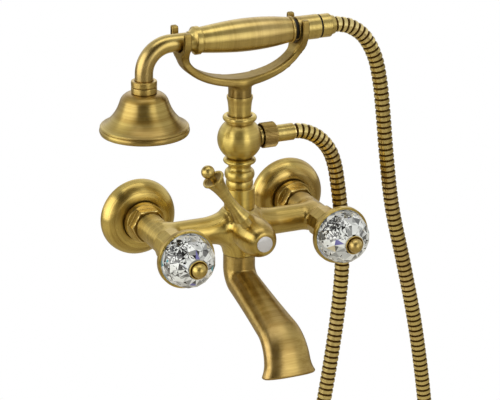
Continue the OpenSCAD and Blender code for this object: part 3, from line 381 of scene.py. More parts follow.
place = add(brush_lines, "ShaderNodeTexCoord").outputs["Object"]
depth = vector_step(brush_lines, "DOT_PRODUCT", place, given["Axis"], 1)
axial = vector_step(brush_lines, "SCALE", given["Axis"], depth)
radial = vector_step(brush_lines, "SUBTRACT", place, axial)
stretched = vector_step(brush_lines, "ADD", vector_step(brush_lines, "SCALE", axial, given["Along"]),
                        vector_step(brush_lines, "SCALE", radial, given["Across"]))
feed(brush_lines, made["Lines"], noise(brush_lines, stretched, 1.0, 3.0, 0.5))
feed(brush_lines, made["Bands"], noise(brush_lines, stretched, 0.12, 2.0, 0.5))
print("brush lines:", len(brush_lines.nodes), "nodes")

# %% Bronzing
COLOUR = "NodeSocketColor"
bronzing, given, made = group_of("ShaderNodeTree", "bronzing", [
    ("Lines", FLOAT, 0.5), ("Bands", FLOAT, 0.5), ("Bright", COLOUR, (0.7, 0.5, 0.17, 1)),
    ("Deep", COLOUR, (0.3, 0.18, 0.05, 1)), ("Amount", FLOAT, 0.5), ("Corner", FLOAT, 0.006),
    ("Warm", FLOAT, 0.5)],
    [("Colour", COLOUR)])
place = add(bronzing, "ShaderNodeTexCoord").outputs["Object"]
clouds = noise(bronzing, place, 26.0, 3.0, 0.55)
# Ambient occlusion keeps the dark tone in corners: patina in each piece's hollows, and painted shade where other
# pieces come close.
open_air = add(bronzing, "ShaderNodeAmbientOcclusion", samples=6)
feed(bronzing, open_air.inputs["Distance"], given["Corner"])
corner = remap(bronzing, open_air.outputs["AO"], 0.35, 0.95, 1.0, 0.0)
streaks = calc(bronzing, "ADD", calc(bronzing, "MULTIPLY", given["Lines"], 0.45),
               calc(bronzing, "MULTIPLY", given["Bands"], 0.55))
rubbed = remap(bronzing, calc(bronzing, "ADD", streaks, calc(bronzing, "MULTIPLY", clouds, 0.5)),
               0.62, 0.92, 0.0, 1.0)
dark = calc(bronzing, "MAXIMUM", calc(bronzing, "MULTIPLY", rubbed, given["Amount"]),
            calc(bronzing, "MULTIPLY", corner, 0.75))
warm = add(bronzing, "ShaderNodeMix", data_type="RGBA")
warm_clouds = remap(bronzing, noise(bronzing, place, 17.0, 2.0, 0.5), 0.46, 0.68, 0.0, 1.0)
feed(bronzing, warm.inputs["Factor"], calc(bronzing, "MULTIPLY", given["Warm"], warm_clouds))
feed(bronzing, warm.inputs[6], given["Bright"])
feed(bronzing, warm.inputs[7], vector_step(bronzing, "MULTIPLY", given["Bright"], (0.84, 0.77, 1.08)))
tone = add(bronzing, "ShaderNodeMix", data_type="RGBA")
feed(bronzing, tone.inputs["Factor"], dark)
feed(bronzing, tone.inputs[6], warm.outputs[2])
feed(bronzing, tone.inputs[7], given["Deep"])
feed(bronzing, made["Colour"], tone.outputs[2])
print("groups:", [g.name for g in bpy.data.node_groups])

# %% A brass
BRIGHT, DEEP = (0.60, 0.46, 0.125, 1), (0.25, 0.14, 0.016, 1)


def blank(material):
    """Clears a material's nodes and returns its tree and its principled shader, linked to the output."""
    material.use_nodes = True
    tree = material.node_tree
    tree.nodes.clear()
    shader = add(tree, "ShaderNodeBsdfPrincipled")
    feed(tree, add(tree, "ShaderNodeOutputMaterial").inputs["Surface"], shader.outputs[0])
    return tree, shader


def brass(name, axis, along=2200.0, across=16.0, bright=BRIGHT, deep=DEEP, amount=0.5,
          rough=(0.30, 0.42), bump=0.06, stretch=0.75, corner=0.006, coat=0.25, warm=0.5):
    """Antique brass that is brushed round an axis, or along it where across is the finer number."""
    material = bpy.data.materials.new(name)
    tree, shader = blank(material)
    lines = add(tree, "ShaderNodeGroup", node_tree=brush_lines)
    tones = add(tree, "ShaderNodeGroup", node_tree=bronzing)
    for label, value in (("Axis", axis), ("Along", along), ("Across", across)):
        feed(tree, lines.inputs[label], value)
    for label, value in (("Lines", lines.outputs["Lines"]), ("Bands", lines.outputs["Bands"]),
                         ("Bright", bright), ("Deep", deep), ("Amount", amount), ("Corner", corner),
                         ("Warm", warm)):
        feed(tree, tones.inputs[label], value)
    shader.inputs["Metallic"].default_value = 1.0
    shader.inputs["Coat Weight"].default_value = coat
    shader.inputs["Coat Roughness"].default_value = 0.25
    feed(tree, shader.inputs["Base Color"], tones.outputs["Colour"])
    feed(tree, shader.inputs["Roughness"], remap(tree, lines.outputs["Lines"], 0.3, 0.7, *rough))
    relief = add(tree, "ShaderNodeBump")
    relief.inputs["Strength"].default_value = bump
    relief.inputs["Distance"].default_value = 0.0002
    feed(tree, relief.inputs["Height"], lines.outputs["Lines"])
    feed(tree, shader.inputs["Normal"], relief.outputs[0])
    shader.inputs["Anisotropic"].default_value = stretch
    shader.inputs["Anisotropic Rotation"].default_value = 0.25 if along > across else 0.0
    turned_axis = add(tree, "ShaderNodeVectorTransform", vector_type="VECTOR", convert_from="OBJECT",
                      convert_to="WORLD")
    feed(tree, turned_axis.inputs[0], axis)
    facing = add(tree, "ShaderNodeNewGeometry").outputs["Normal"]
    feed(tree, shader.inputs["Tangent"], vector_step(tree, "CROSS_PRODUCT", turned_axis.outputs[0], facing))
    return material


print("tones of brass:", BRIGHT[:3], "to", DEEP[:3])

# %% Brass in several brushings
LEVER_TILT = math.radians(34.5)
LEVER_AXIS = (-math.sin(LEVER_TILT), 0, math.cos(LEVER_TILT))
brass_x = brass("brass turned on x", (1, 0, 0), bright=(0.66, 0.515, 0.165, 1), amount=0.42)
brass_y = brass("brass turned on y", (0, 1, 0), bright=(0.66, 0.505, 0.14, 1), amount=0.65, rough=(0.25, 0.36))
brass_plate = brass("brass of the escutcheons", (0, 1, 0), bright=(0.72, 0.56, 0.165, 1), amount=0.75,
                    rough=(0.24, 0.34))
brass_z = brass("brass turned on z", (0, 0, 1))
# The bell's brass is painted darker than the rest: a shaded copy of the brass.
brass_bell = brass("brass of the bell", (0, 0, 1), bright=(0.52, 0.40, 0.115, 1), amount=0.75)
brass_bent = brass("brass of the elbow", (0, 1, 0), 30.0, 30.0, bright=(0.56, 0.43, 0.14, 1),
                   rough=(0.24, 0.32), bump=0.0, stretch=0.0)
# The column's brass is painted brighter than the rest: a lit copy of the brass.
brass_column = brass("brass of the column", (0, 0, 1), bright=(0.70, 0.55, 0.145, 1), amount=0.4,
                     rough=(0.30, 0.42), corner=0.003)
brass_lever = brass("brass of the lever", LEVER_AXIS, bright=(0.62, 0.48, 0.145, 1), rough=(0.27, 0.31),
                    bump=0.015, corner=0.003)
brass_nut = brass("satin brass of the nuts", (0, 1, 0), bright=(0.74, 0.58, 0.21, 1), amount=0.35,
                  rough=(0.18, 0.26), stretch=0.4, corner=0.002, warm=0.0)
brass_brown = brass("brown knurled brass", (1, 0, 0), bright=(0.48, 0.345, 0.105, 1), deep=(0.24, 0.15, 0.04, 1),
                    rough=(0.38, 0.5), stretch=0.2, corner=0.002)
brass_ball = brass("brass of the small balls", (0, 1, 0), bright=(0.64, 0.50, 0.145, 1), amount=0.35,
                   rough=(0.32, 0.42), stretch=0.1)
# Darker brass: partly the cradle's aged finish, partly painted shade that keeps the strap's inner face dark under
# the top lamp.
brass_drawn = brass("brass drawn along x", (1, 0, 0), 12.0, 1500.0, bright=(0.40, 0.29, 0.085, 1),
                    deep=(0.19, 0.115, 0.018, 1), coat=0.0)
brass_spout = brass("brass of the spout", (1, 0, 0), 14.0, 1500.0, bright=(0.51, 0.37, 0.115, 1), amount=0.65)
brass_bright = brass("polished brass", (0, 1, 0), bright=(0.62, 0.48, 0.18, 1), amount=0.35, rough=(0.2, 0.3),
                     bump=0.03, stretch=0.4)
# Dark brass for the dark parts, and painted shade where it lines the gap behind a nut or a finial's hollow dish.
dark_brass_and_shade = brass("machined brass", (0, 1, 0), bright=(0.21, 0.15, 0.045, 1), amount=0.8, coat=0.0, warm=0.0)
print("brasses:", [m.name for m in bpy.data.materials if "brass" in m.name])

# %% [markdown]
# ## Hose finish, crystal, enamel and seals
# The hose's grooves are painted dark, as painted shade, where the attribute from the tube tree marks them.
# The knobs are lead crystal: clear, strongly bending light, and full of splinters of what lies around them,
# whose tones the pieces carry with them as painted reflections, and they glow faintly, a painted glow. A
# silver foil lies behind them in the cup. The index button is glazed pale. Every solid then gets the finish
# of its slot, so that none is left bare.

# %% Hose brass
tree, shader = blank(hose_brass)
lines = add(tree, "ShaderNodeGroup", node_tree=brush_lines)
tones = add(tree, "ShaderNodeGroup", node_tree=bronzing)
for label, value in (("Axis", (0, 0, 1)), ("Along", 60.0), ("Across", 60.0)):
    feed(tree, lines.inputs[label], value)
for label, value in (("Lines", lines.outputs["Lines"]), ("Bands", lines.outputs["Bands"]),
                     ("Bright", (0.86, 0.71, 0.30, 1)), ("Deep", (0.52, 0.39, 0.13, 1)), ("Amount", 0.5)):
    feed(tree, tones.inputs[label], value)
# The grooves are painted dark brown: painted shade down between the ribs.
marked = add(tree, "ShaderNodeAttribute", attribute_name="groove").outputs["Fac"]
painted_groove_shade = add(tree, "ShaderNodeMix", data_type="RGBA")
feed(tree, painted_groove_shade.inputs["Factor"], remap(tree, marked, 0.2, 0.7, 0.0, 1.0))
feed(tree, painted_groove_shade.inputs[6], tones.outputs["Colour"])
feed(tree, painted_groove_shade.inputs[7], (0.07, 0.032, 0.004, 1))
feed(tree, shader.inputs["Base Color"], painted_groove_shade.outputs[2])
shader.inputs["Metallic"].default_value = 1.0
feed(tree, shader.inputs["Roughness"], remap(tree, marked, 0.0, 1.0, 0.2, 0.6))
print(hose_brass.name, "of", len(tree.nodes), "nodes")

# %% Crystal
crystal = bpy.data.materials.new("cut crystal")
tree, shader = blank(crystal)
# The splinters' tones are painted reflections of the room round the crystal.
painted_reflection = add(tree, "ShaderNodeAttribute", attribute_name="tone").outputs["Color"]
feed(tree, shader.inputs["Base Color"], painted_reflection)
# The crystal glows faintly in the same tones: a painted glow for the light its facets gather.
feed(tree, shader.inputs["Emission Color"], painted_reflection)
shader.inputs["Emission Strength"].default_value = 0.17
shader.inputs["Transmission Weight"].default_value = 0.35
shader.inputs["Roughness"].default_value = 0.02
shader.inputs["IOR"].default_value = 1.8
print(crystal.name, "of", len(tree.nodes), "nodes")

# %% Enamel, rubber, steel and foil
def plain_finish(name, low, high, scale, roughness, metallic=0.0, coat=0.0, bump=0.1):
    """A material of two close tones with fine grain."""
    material = bpy.data.materials.new(name)
    tree, shader = blank(material)
    place = add(tree, "ShaderNodeTexCoord").outputs["Object"]
    grain = noise(tree, place, scale, 4.0, 0.6)
    tone = add(tree, "ShaderNodeMix", data_type="RGBA")
    feed(tree, tone.inputs["Factor"], grain)
    feed(tree, tone.inputs[6], (*low, 1))
    feed(tree, tone.inputs[7], (*high, 1))
    feed(tree, shader.inputs["Base Color"], tone.outputs[2])
    feed(tree, shader.inputs["Roughness"], remap(tree, grain, 0.2, 0.8, *roughness))
    shader.inputs["Metallic"].default_value = metallic
    shader.inputs["Coat Weight"].default_value = coat
    relief = add(tree, "ShaderNodeBump")
    relief.inputs["Strength"].default_value, relief.inputs["Distance"].default_value = bump, 0.0001
    feed(tree, relief.inputs["Height"], grain)
    feed(tree, shader.inputs["Normal"], relief.outputs[0])
    return material


enamel = plain_finish("index enamel", (0.66, 0.66, 0.68), (0.73, 0.73, 0.75), 90.0, (0.10, 0.2),
                      coat=0.6, bump=0.02)
rubber = plain_finish("black rubber", (0.012, 0.011, 0.010), (0.030, 0.028, 0.026), 700.0, (0.55, 0.75), bump=0.3)
steel = plain_finish("stainless steel", (0.55, 0.55, 0.54), (0.70, 0.70, 0.68), 300.0, (0.22, 0.36), metallic=1.0)
foil = plain_finish("silver foil", (0.90, 0.90, 0.91), (0.97, 0.97, 0.97), 500.0, (0.2, 0.35),
                    metallic=0.4, bump=0.05)
FINISH = {"brass": brass_z, "polished_brass": brass_bright, "dark_brass": dark_brass_and_shade, "hose": hose_brass,
          "crystal": crystal, "white": enamel, "rubber": rubber, "steel": steel}
for name, solid in nodes.items():
    solid.data.materials.clear()
    solid.data.materials.append(FINISH[slots[name]])
print("materials:", len(bpy.data.materials))

# %% [markdown]
# ## Turned pieces
# Most of the mixer came off a lathe: escutcheons, hub, lever, column, bell, grip. A profile spun round an
# axis makes each of them. The solids carry much the same profiles in a few straight steps. Here the steps
# are fine, and every corner gets the small round edge that catches the light on a real piece. A Screw
# modifier could spin a profile too, but not press flats into it, as the handles need, so the spin is
# written out.

# %% Profiles
def bulge(r_in, r_out, z, h, n=18):
    """A half-round bead from r_in out to r_out."""
    return [(r_in + (r_out - r_in) * math.sin(math.pi * i / n), z - h * math.cos(math.pi * i / n))
            for i in range(n + 1)]


def flare(a, b, sweep=60, n=16):
    """A trumpet that starts along the axis and turns outwards."""
    s = math.radians(sweep)
    return [(a[0] + (b[0] - a[0]) * (1 - math.cos(s * i / n)) / (1 - math.cos(s)),
             a[1] + (b[1] - a[1]) * math.sin(s * i / n) / math.sin(s)) for i in range(n + 1)]


def bow(a, b, c, n=24):
    """A curve from a to c that heads for b at both ends."""
    return [tuple(p * (1 - i / n) ** 2 + 2 * q * (i / n) * (1 - i / n) + r * (i / n) ** 2
                  for p, q, r in zip(a, b, c)) for i in range(n + 1)]


def arc(centre, r, start, end, n=24):
    """Points of a circle from one angle to another, in degrees."""
    return [(centre[0] + r * math.cos(math.radians(start + (end - start) * i / n)),
             centre[1] + r * math.sin(math.radians(start + (end - start) * i / n))) for i in range(n + 1)]


print("a bead has", len(bulge(10, 12, 0, 2)), "points, a trumpet", len(flare((1, 0), (2, 1))))


# %% Eased corners
def eased_corners(loop, radius, steps=4, least=24):
    """Rounds the corners of a closed profile, except those on the axis."""
    made, count = [], len(loop)
    for i in range(count):
        a, p, b = (np.array(loop[(i + k) % count][:2], float) for k in (-1, 0, 1))
        rest = tuple(loop[i][2:])
        u, v = a - p, b - p
        lu, lv = np.linalg.norm(u), np.linalg.norm(v)
        if p[0] < 1e-6 or lu < 1e-6 or lv < 1e-6:
            made.append((*p, *rest))
            continue
        turn = math.pi - math.acos(max(-1.0, min(1.0, float(u @ v) / (lu * lv))))
        if turn < math.radians(least):
            made.append((*p, *rest))
            continue
        t = min(radius * math.tan(turn / 2), 0.45 * lu, 0.45 * lv)
        ends = p + u / lu * t, p, p + v / lv * t
        made += [(*q, *rest) for q in bow(*ends, steps)]
    return made


square = [(1, 0), (2, 0), (2, 1), (1, 1)]
print("a square of", len(square), "points gets", len(eased_corners(square, 0.1)))


# %% Where the lathe stands
def from_wall(x=0.0, z=0.0):
    """Turns a piece so that its axis runs out of the wall."""
    return Matrix.Translation((x * MM, 0, z * MM)) @ Matrix.Rotation(math.pi / 2, 4, "X") @ Matrix.Scale(MM, 4)


def along_x(z):
    """Turns a piece so that its axis runs along +X in the plane of the column."""
    return Matrix.Translation((0, REACH, z * MM)) @ Matrix.Rotation(math.pi / 2, 4, "Y") @ Matrix.Scale(MM, 4)


def upright(x=0.0):
    """Stands a piece on a vertical axis in the plane of the column."""
    return Matrix.Translation((x * MM, REACH, 0)) @ Matrix.Scale(MM, 4)


print("the column's axis is at", [round(v, 3) for v in upright().translation])

# %% The lathe
SIDES = 96


def polished(mesh):
    """Smooth shading in which flat faces stay flat."""
    mesh.shade_smooth()
    mesh.set_sharp_from_angle(angle=math.radians(38))
    holder = bpy.data.objects.new("holder", mesh)
    bpy.context.scene.collection.objects.link(holder)
    weighted = holder.modifiers.new("normals", "WEIGHTED_NORMAL")
    weighted.keep_sharp = True
    made = bpy.data.meshes.new_from_object(holder.evaluated_get(bpy.context.evaluated_depsgraph_get()))
    bpy.data.objects.remove(holder)
    bpy.data.meshes.remove(mesh)
    return made


def spun(profile, place, directions):
    """Spins a closed profile of (radius, height, ...) round the z axis, through unit directions per point."""
    vertices, rings, faces = [], [], []
    for point in profile:
        ring = directions(point) * point[0] if point[0] > 1e-6 else np.zeros((1, 2))
        rings.append(range(len(vertices), len(vertices) + len(ring)))
        vertices += [(x, y, point[1]) for x, y in ring]
    for lower, upper in zip(rings, rings[1:] + rings[:1]):
        n = max(len(lower), len(upper))
        for k in range(n if n > 1 else 0):
            corners = [lower[k % len(lower)], lower[(k + 1) % len(lower)],
                       upper[(k + 1) % len(upper)], upper[k % len(upper)]]
            faces.append(tuple(dict.fromkeys(corners)))
    mesh = bpy.data.meshes.new("spun")
    mesh.from_pydata([tuple(place @ Vector(v)) for v in vertices], [], faces)
    shape = bmesh.new()
    shape.from_mesh(mesh)
    bmesh.ops.recalc_face_normals(shape, faces=shape.faces)
    shape.to_mesh(mesh)
    shape.free()
    return polished(mesh)


def round_directions(point, sides=SIDES):
    """Unit vectors of a circle."""
    angle = 2 * math.pi * np.arange(sides) / sides
    return np.stack([np.cos(angle), np.sin(angle)], axis=1)


print("the lathe turns in", len(round_directions(None)), "steps")


# %% From a mesh to a piece
def lined(made, material, chosen):
    """Gives the faces that a test on (x, y, z) in mm chooses a second material."""
    made.data.materials.append(material)
    for face in made.data.polygons:
        if chosen(*(face.center / MM)):
            face.material_index = len(made.data.materials) - 1


def piece(name, mesh, material, *stands_for):
    """Puts a finished mesh in the scene, on the body of the first solid that it stands for."""
    mesh.name = name
    mesh.materials.clear()
    mesh.materials.append(material)
    made = bpy.data.objects.new(name, mesh)
    bpy.context.scene.collection.objects.link(made)
    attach(made, nodes[stands_for[0]]["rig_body"])
    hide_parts(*stands_for)
    return made


def turned(name, node, material, place, profile, corner=0.45):
    """A piece from the lathe in place of a solid."""
    return piece(name, spun(eased_corners(profile, corner), place, round_directions), material, node)


# %% [markdown]
# ## Column
# The column takes the water up to a ball, from which the hose leaves, and holds the cradle on its top. It is
# turned from one bar, in beads, hollows and a ball. Cylinders and spheres pushed into each other would show
# seams, so beads and arcs are strung into one profile. Only the boss of the outlet lies across the axis and
# is a piece of its own.

# %% Column
BALL_Z, BALL_R = 84, 20.1
ball_foot, ball_top = (math.degrees(math.asin(h / BALL_R)) for h in (17.2, 16.0))
column = ([(0, 8), (9, 8), (9, 19), (13.9, 19), (13.9, 38.3), (11.6, 38.9)] + bulge(11.2, 12.4, 42.7, 3.5)[1:]
          + bulge(11.0, 13.6, 51, 4.6)[1:-3] + arc((13.3, 58), 3.2, 242, 118, 12)
          + bulge(10.3, 14.8, 64, 2.8)[2:-1]
          + arc((0, BALL_Z), BALL_R, -ball_foot, ball_top, 40) + [(12.7, 100.2), (12.7, 101.3)]
          + arc((12.7, 104), 2.6, -80, 170, 24) + flare((10.0, 104.4), (11.7, 122), 68)
          + [(11.7, 124.4), (10.5, 124.4), (10.5, 121.8), (0, 121.8)])
turned("column_turned", "column", brass_column, upright(), column)
turned("outlet_boss", "column", brass_x, along_x(BALL_Z), [(0, 12), (8.6, 12), (8.6, 20.5), (0, 20.5)])
print("column:", len(column), "profile points")

# %% [markdown]
# ## Handset
# The handset is a bell for the spray, two narrow rings on its neck, a bent tube, and a grip between a collar
# and the hose's connector. A sheet that Solidify thickens would do for the crown of the bell, but not for
# its rolled rim, so the profile runs down the outside, round the rim and up again inside.

# %% Bell and its neck
BELL_X, BELL_TOP, BELL_LOW = -91, 138, 101.5
outside = smooth([(11.4, BELL_TOP), (14, BELL_TOP - 0.35), (17, BELL_TOP - 1.6), (19.4, BELL_TOP - 3.7),
                  (20.9, BELL_TOP - 6.2), (22.5, BELL_TOP - 10.6), (24.5, BELL_TOP - 15.2), (27.5, BELL_TOP - 20),
                  (31.2, BELL_TOP - 24.4), (35.2, BELL_TOP - 27.9), (38.6, BELL_LOW + 6.9)], 5)
inside = [(r - 1.6, z - 1.5) for r, z in reversed(outside)]
rim = ([(38.6, BELL_LOW + 6.6)] + arc((38.5, BELL_LOW + 5.9), 0.7, 60, -60, 6) + [(38.5, BELL_LOW + 5)]
       + bow((38.9, BELL_LOW + 4.8), (40.6, BELL_LOW + 3), (38.8, BELL_LOW), 12))
bell = ([(8.05, BELL_TOP)] + outside + rim + [(37.3, BELL_LOW), (37.3, BELL_LOW + 3.5), (36.1, BELL_LOW + 3.5)]
        + inside[1:] + [(8.05, BELL_TOP - 3)])
turned("bell_turned", "bell", brass_bell, upright(BELL_X), bell, 0.25)


def neck_band(low, high, r=11.4):
    """Profile of a narrow ring round the elbow's end."""
    return [(8.05, low), (r, low), (r, high), (8.05, high)]


turned("bell_nut_turned", "bell_nut", brass_z, upright(BELL_X), neck_band(BELL_TOP, BELL_TOP + 5.6), 0.9)
turned("bell_ring_turned", "bell_ring", brass_z, upright(BELL_X), neck_band(BELL_TOP + 5.6, BELL_TOP + 11.2), 1.3)
print("bell:", len(bell), "profile points")

# %% Handset along its axis
HANDSET_Z = (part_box("grip")[0].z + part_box("grip")[1].z) / 2 / MM
GRIP_LEFT, GRIP_RIGHT = -38.2, 49.95
grip = ([(8.05, GRIP_LEFT)] + smooth([(11.3, GRIP_LEFT), (12, -32), (13.3, -19), (14.4, -4), (14.6, 9), (14.2, 21),
                                      (13.2, 33), (11.9, 42.5), (11.3, 46.6)], 5)
        + [(10.7, 46.8), (10.7, 47.3)] + bulge(11.0, 12.1, 48.5, 1.1, 10)
        + [(10.9, GRIP_RIGHT), (8.05, GRIP_RIGHT)])
turned("grip_turned", "grip", brass_x, along_x(HANDSET_Z), grip, 0.3)
turned("grip_collar_turned", "grip_collar", brass_x, along_x(HANDSET_Z),
       [(8.05, -49.6)] + bow((8.5, -49.6), (9.2, -46), (12.2, -44.5), 8)
       + [(12.5, -44.1), (12.5, -39.9), (11.6, -39.2), (11.6, GRIP_LEFT), (8.05, GRIP_LEFT)], 0.35)
turned("grip_ring_turned", "grip_ring", rubber, along_x(HANDSET_Z),
       [(8.05, 49.95), (9, 49.95), (9, 53.35), (8.05, 53.35)], 0.3)
turned("connector_turned", "connector", brass_x, along_x(HANDSET_Z),
       [(8.05, 53.35), (11, 53.35), (11, 75.2), (8.38, 75.2), (8.38, 69.95), (5, 69.95), (5, 62.35),
        (8.05, 62.35)], 0.8)
cone = turned("hose_cone_turned", "hose_cone", brass_x, along_x(HANDSET_Z),
              [(4.5, 71.45), (8.33, 71.45), (8.33, 75.3), (9.3, 75.3), (9.3, 76.8), (10.6, 76.8), (10.6, 86.2),
               (9.3, 86.8), (8.15, 90.95), (7.15, 90.95), (7.15, 78.95), (4.5, 78.95)])
lined(cone, rubber, lambda x, y, z: 75.2 < x < 76.85)
print("handset axis at", round(HANDSET_Z, 2))

# %% [markdown]
# ## Hose nut
# The hose's lower end is crimped into a ferrule, and a knurled nut screws it to the column's outlet. The
# knurl is a row of fine straight ridges for the fingers. A bump in the material would not be in the mesh,
# so a second tree sets a thin three-sided bar on each point of a circle and turns its edge outwards.

# %% The ridge tree
ridge_tree, given, made = group_of("GeometryNodeTree", "ridges round an axis", [
    ("Start", "NodeSocketGeometry", None), ("Count", INTEGER, 40), ("Radius", FLOAT, 11.0), ("Ridge", FLOAT, 0.7),
    ("Length", FLOAT, 14.0), ("Finish", "NodeSocketMaterial", None)], [("Ridges", "NodeSocketGeometry")])
ring = add(ridge_tree, "GeometryNodeCurvePrimitiveCircle")
feed(ridge_tree, ring.inputs["Resolution"], given["Count"])
feed(ridge_tree, ring.inputs["Radius"], given["Radius"])
bar = add(ridge_tree, "GeometryNodeMeshCylinder")
feed(ridge_tree, bar.inputs["Vertices"], 3)
feed(ridge_tree, bar.inputs["Radius"], given["Ridge"])
feed(ridge_tree, bar.inputs["Depth"], given["Length"])
outward = add(ridge_tree, "FunctionNodeAlignRotationToVector", axis="X")
feed(ridge_tree, outward.inputs["Vector"], add(ridge_tree, "GeometryNodeInputPosition").outputs[0])
copies = add(ridge_tree, "GeometryNodeInstanceOnPoints")
feed(ridge_tree, copies.inputs["Points"], ring.outputs["Curve"])
feed(ridge_tree, copies.inputs["Instance"], bar.outputs["Mesh"])
feed(ridge_tree, copies.inputs["Rotation"], outward.outputs[0])
plain = add(ridge_tree, "GeometryNodeRealizeInstances")
feed(ridge_tree, plain.inputs["Geometry"], copies.outputs[0])
finished = add(ridge_tree, "GeometryNodeSetMaterial")
feed(ridge_tree, finished.inputs["Geometry"], plain.outputs[0])
feed(ridge_tree, finished.inputs["Material"], given["Finish"])
feed(ridge_tree, made["Ridges"], finished.outputs[0])
print("ridge tree:", len(ridge_tree.nodes), "nodes")

# %% The hose's lower end
turned("hose_ferrule_turned", "hose_ferrule", brass_x, along_x(BALL_Z),
       [(4.5, 31), (9.6, 31), (9.6, 32.2), (7.7, 32.2), (7.7, 52), (7.15, 52), (7.15, 38), (4.5, 38)])
hose_nut = [(10.53, 20.8), (11.1, 20.8), (11.1, 33.8), (7.8, 33.8), (7.8, 32.2), (10.53, 32.2)]
turned("hose_nut_turned", "hose_nut", brass_brown, along_x(BALL_Z), hose_nut)
ridges = grown("hose_nut_ridges", [(0, 0, 0)], ridge_tree, Count=58, Radius=11.05, Ridge=0.5, Length=11.8)
ridges.transform(along_x(BALL_Z) @ Matrix.Translation((0, 0, 27.3)))
piece("hose_nut_ridges", ridges, brass_brown, "hose_nut")
print("ridges on the hose nut:", len(ridges.polygons), "faces")

# %% [markdown]
# ## Elbow
# A bent tube joins the grip to the bell. The lathe can't make a bend, so the tube tree of the hose runs once
# more, along a straight, a quarter of a circle and a straight, and with no grooves.

# %% The elbow
ELBOW_BEND = 25
elbow_line = ([(-38, HANDSET_Z)] + arc((BELL_X + ELBOW_BEND, HANDSET_Z - ELBOW_BEND), ELBOW_BEND, 90, 180)
              + [(BELL_X, BELL_TOP - 4)])
elbow_mesh = grown("elbow_bent", [(x * MM, REACH, z * MM) for x, z in elbow_line], tube_tree,
                   [(i, i + 1) for i in range(len(elbow_line) - 1)], Radius=8 * MM, Step=1.5 * MM, Sides=64)
elbow_mesh.shade_smooth()
piece("elbow_bent", elbow_mesh, brass_bent, "elbow")
print("elbow:", len(elbow_mesh.polygons), "faces")

# %% [markdown]
# ## Escutcheons and finials
# An escutcheon is a thin spun dome that hides the hole in the wall round an inlet: two arcs, one inside the
# other, make its wall. A finial is the long screw with a dished head and a ball that holds the crystal in
# its cup. Both come in pairs, so one loop turns them for hot and for cold. The screw's stem shows through
# the crystal and is painted silver like the foil behind it, as painted reflection of its bore. The dish is
# painted dark: partly its dark plating, partly painted shade in its hollow.

# %% Escutcheons and finials
for side, x in HANDLES.items():
    turned(side + "_escutcheon_turned", side + "_escutcheon", brass_plate, from_wall(x),
           arc((22, 0), 14, 0, 128.6, 48) + arc((22, 0), 12.6, 133.8, 0, 48))
    finial = turned(side + "_finial_turned", side + "_finial", brass_ball, from_wall(x),
                    [(0, 94), (2.05, 94), (2.05, 104.4), (4, 104.4), (4, 143.5), (6.6, 143.5), (8.6, 144.5),
                     (8.6, 145.6), (7.9, 145.6), (5.6, 144.2)] + arc((0, 146.4), 6.7, -16, 90, 24), 0.3)
    # The stem inside the crystal is painted silver: a painted reflection of the bore round it.
    lined(finial, foil, lambda x, y, z: 104 < -y < 143.4)
    # The dish is painted dark: its dark plating and painted shade in the hollow.
    lined(finial, dark_brass_and_shade, lambda px, y, z: 144.1 < -y < 145.5 and 5.3 < math.hypot(px - x, z) < 7.9)
    print(finial.name, "has", len(finial.data.materials), "finishes")

# %% [markdown]
# ## Diverter
# The hub is a rounded cap on the diverter's spindle, with a glazed button in its end. The lever grows out of
# it at a slant, narrow at the waist, and opens into a trumpet with a dish and a small ball. Both could be
# modelled straight up and then turned as objects, but a finished piece sits at the origin, so the lathe's
# own place carries the slant. The dish gets a second finish, because no brush reaches it.

# %% Hub and button
HUB_Z = 2.5
hub = ([(7.3, 84.4), (16.2, 84.4)] + [(8.2 + 9.1 * math.cos(a), 94.4 + 23 * math.sin(a))
                                     for a in np.linspace(0, math.pi / 2, 28)]
       + [(5.5, 117.4), (5.5, 106.4), (5.05, 106.4), (5.05, 91.4), (7.3, 91.4)])
turned("hub_turned", "diverter_hub", brass_y, from_wall(0, HUB_Z), hub)
button = ([(0, 112), (5.4, 112), (5.4, 117.4), (7.3, 117.4), (7.3, 118.5)]
          + bow((7.0, 118.9), (4.5, 119.6), (0, 119.7), 10))
turned("button_glazed", "index_button", enamel, from_wall(0, HUB_Z), button, 0.5)
print("hub and button:", len(hub), "and", len(button), "profile points")

# %% Lever
LEVER_OUT = 100
lever_place = (Matrix.Translation((0, -LEVER_OUT * MM, HUB_Z * MM)) @ Matrix.Rotation(-LEVER_TILT, 4, "Y")
               @ Matrix.Scale(MM, 4))
lever = ([(0, 11.5), (4.8, 11.5), (4.8, 22.6), (5.6, 22.8), (5.6, 23.9), (4.9, 24.1), (8.0, 25.4)]
         + flare((4.8, 46.5), (8.3, 26.2), 42)[::-1] + flare((4.8, 46.5), (9.3, 72.9))[1:]
         + [(10.3, 72.9), (10.3, 74.8), (8.5, 74.8)] + bow((8.3, 74.1), (7.2, 73.3), (3.6, 73.2), 8)
         + [(2.55, 73.2), (2.55, 65.8), (0, 65.8)])
arm = turned("lever_turned", "lever", brass_lever, lever_place, lever)


def in_dish(x, y, z):
    """Tells the hollow in the lever's end from the rest of it."""
    off = Vector((x, y + LEVER_OUT, z - HUB_Z))
    along = off.dot(Vector(LEVER_AXIS))
    return along > 72.9 and (off - along * Vector(LEVER_AXIS)).length < 8.45


lined(arm, brass_drawn, in_dish)
turned("lever_ball_turned", "lever_ball", brass_ball, lever_place,
       [(0, 65.8), (2.5, 65.8)] + arc((0, 83), 6, -65, 90, 28))

# %% [markdown]
# ## Handles
# The shroud and the cup behind each crystal have ten flat sides, and the cup flares out to a round rim.
# The union nut at each inlet has six, and a round flange. A plain lathe would lose the flats, so each
# profile point also says how much of a polygon it is: the same spin then gives sides outside, a round rim
# and a round seat inside, all in one closed skin.

# %% Pieces with flat sides
CORNER_SPREAD = math.radians(1.6)


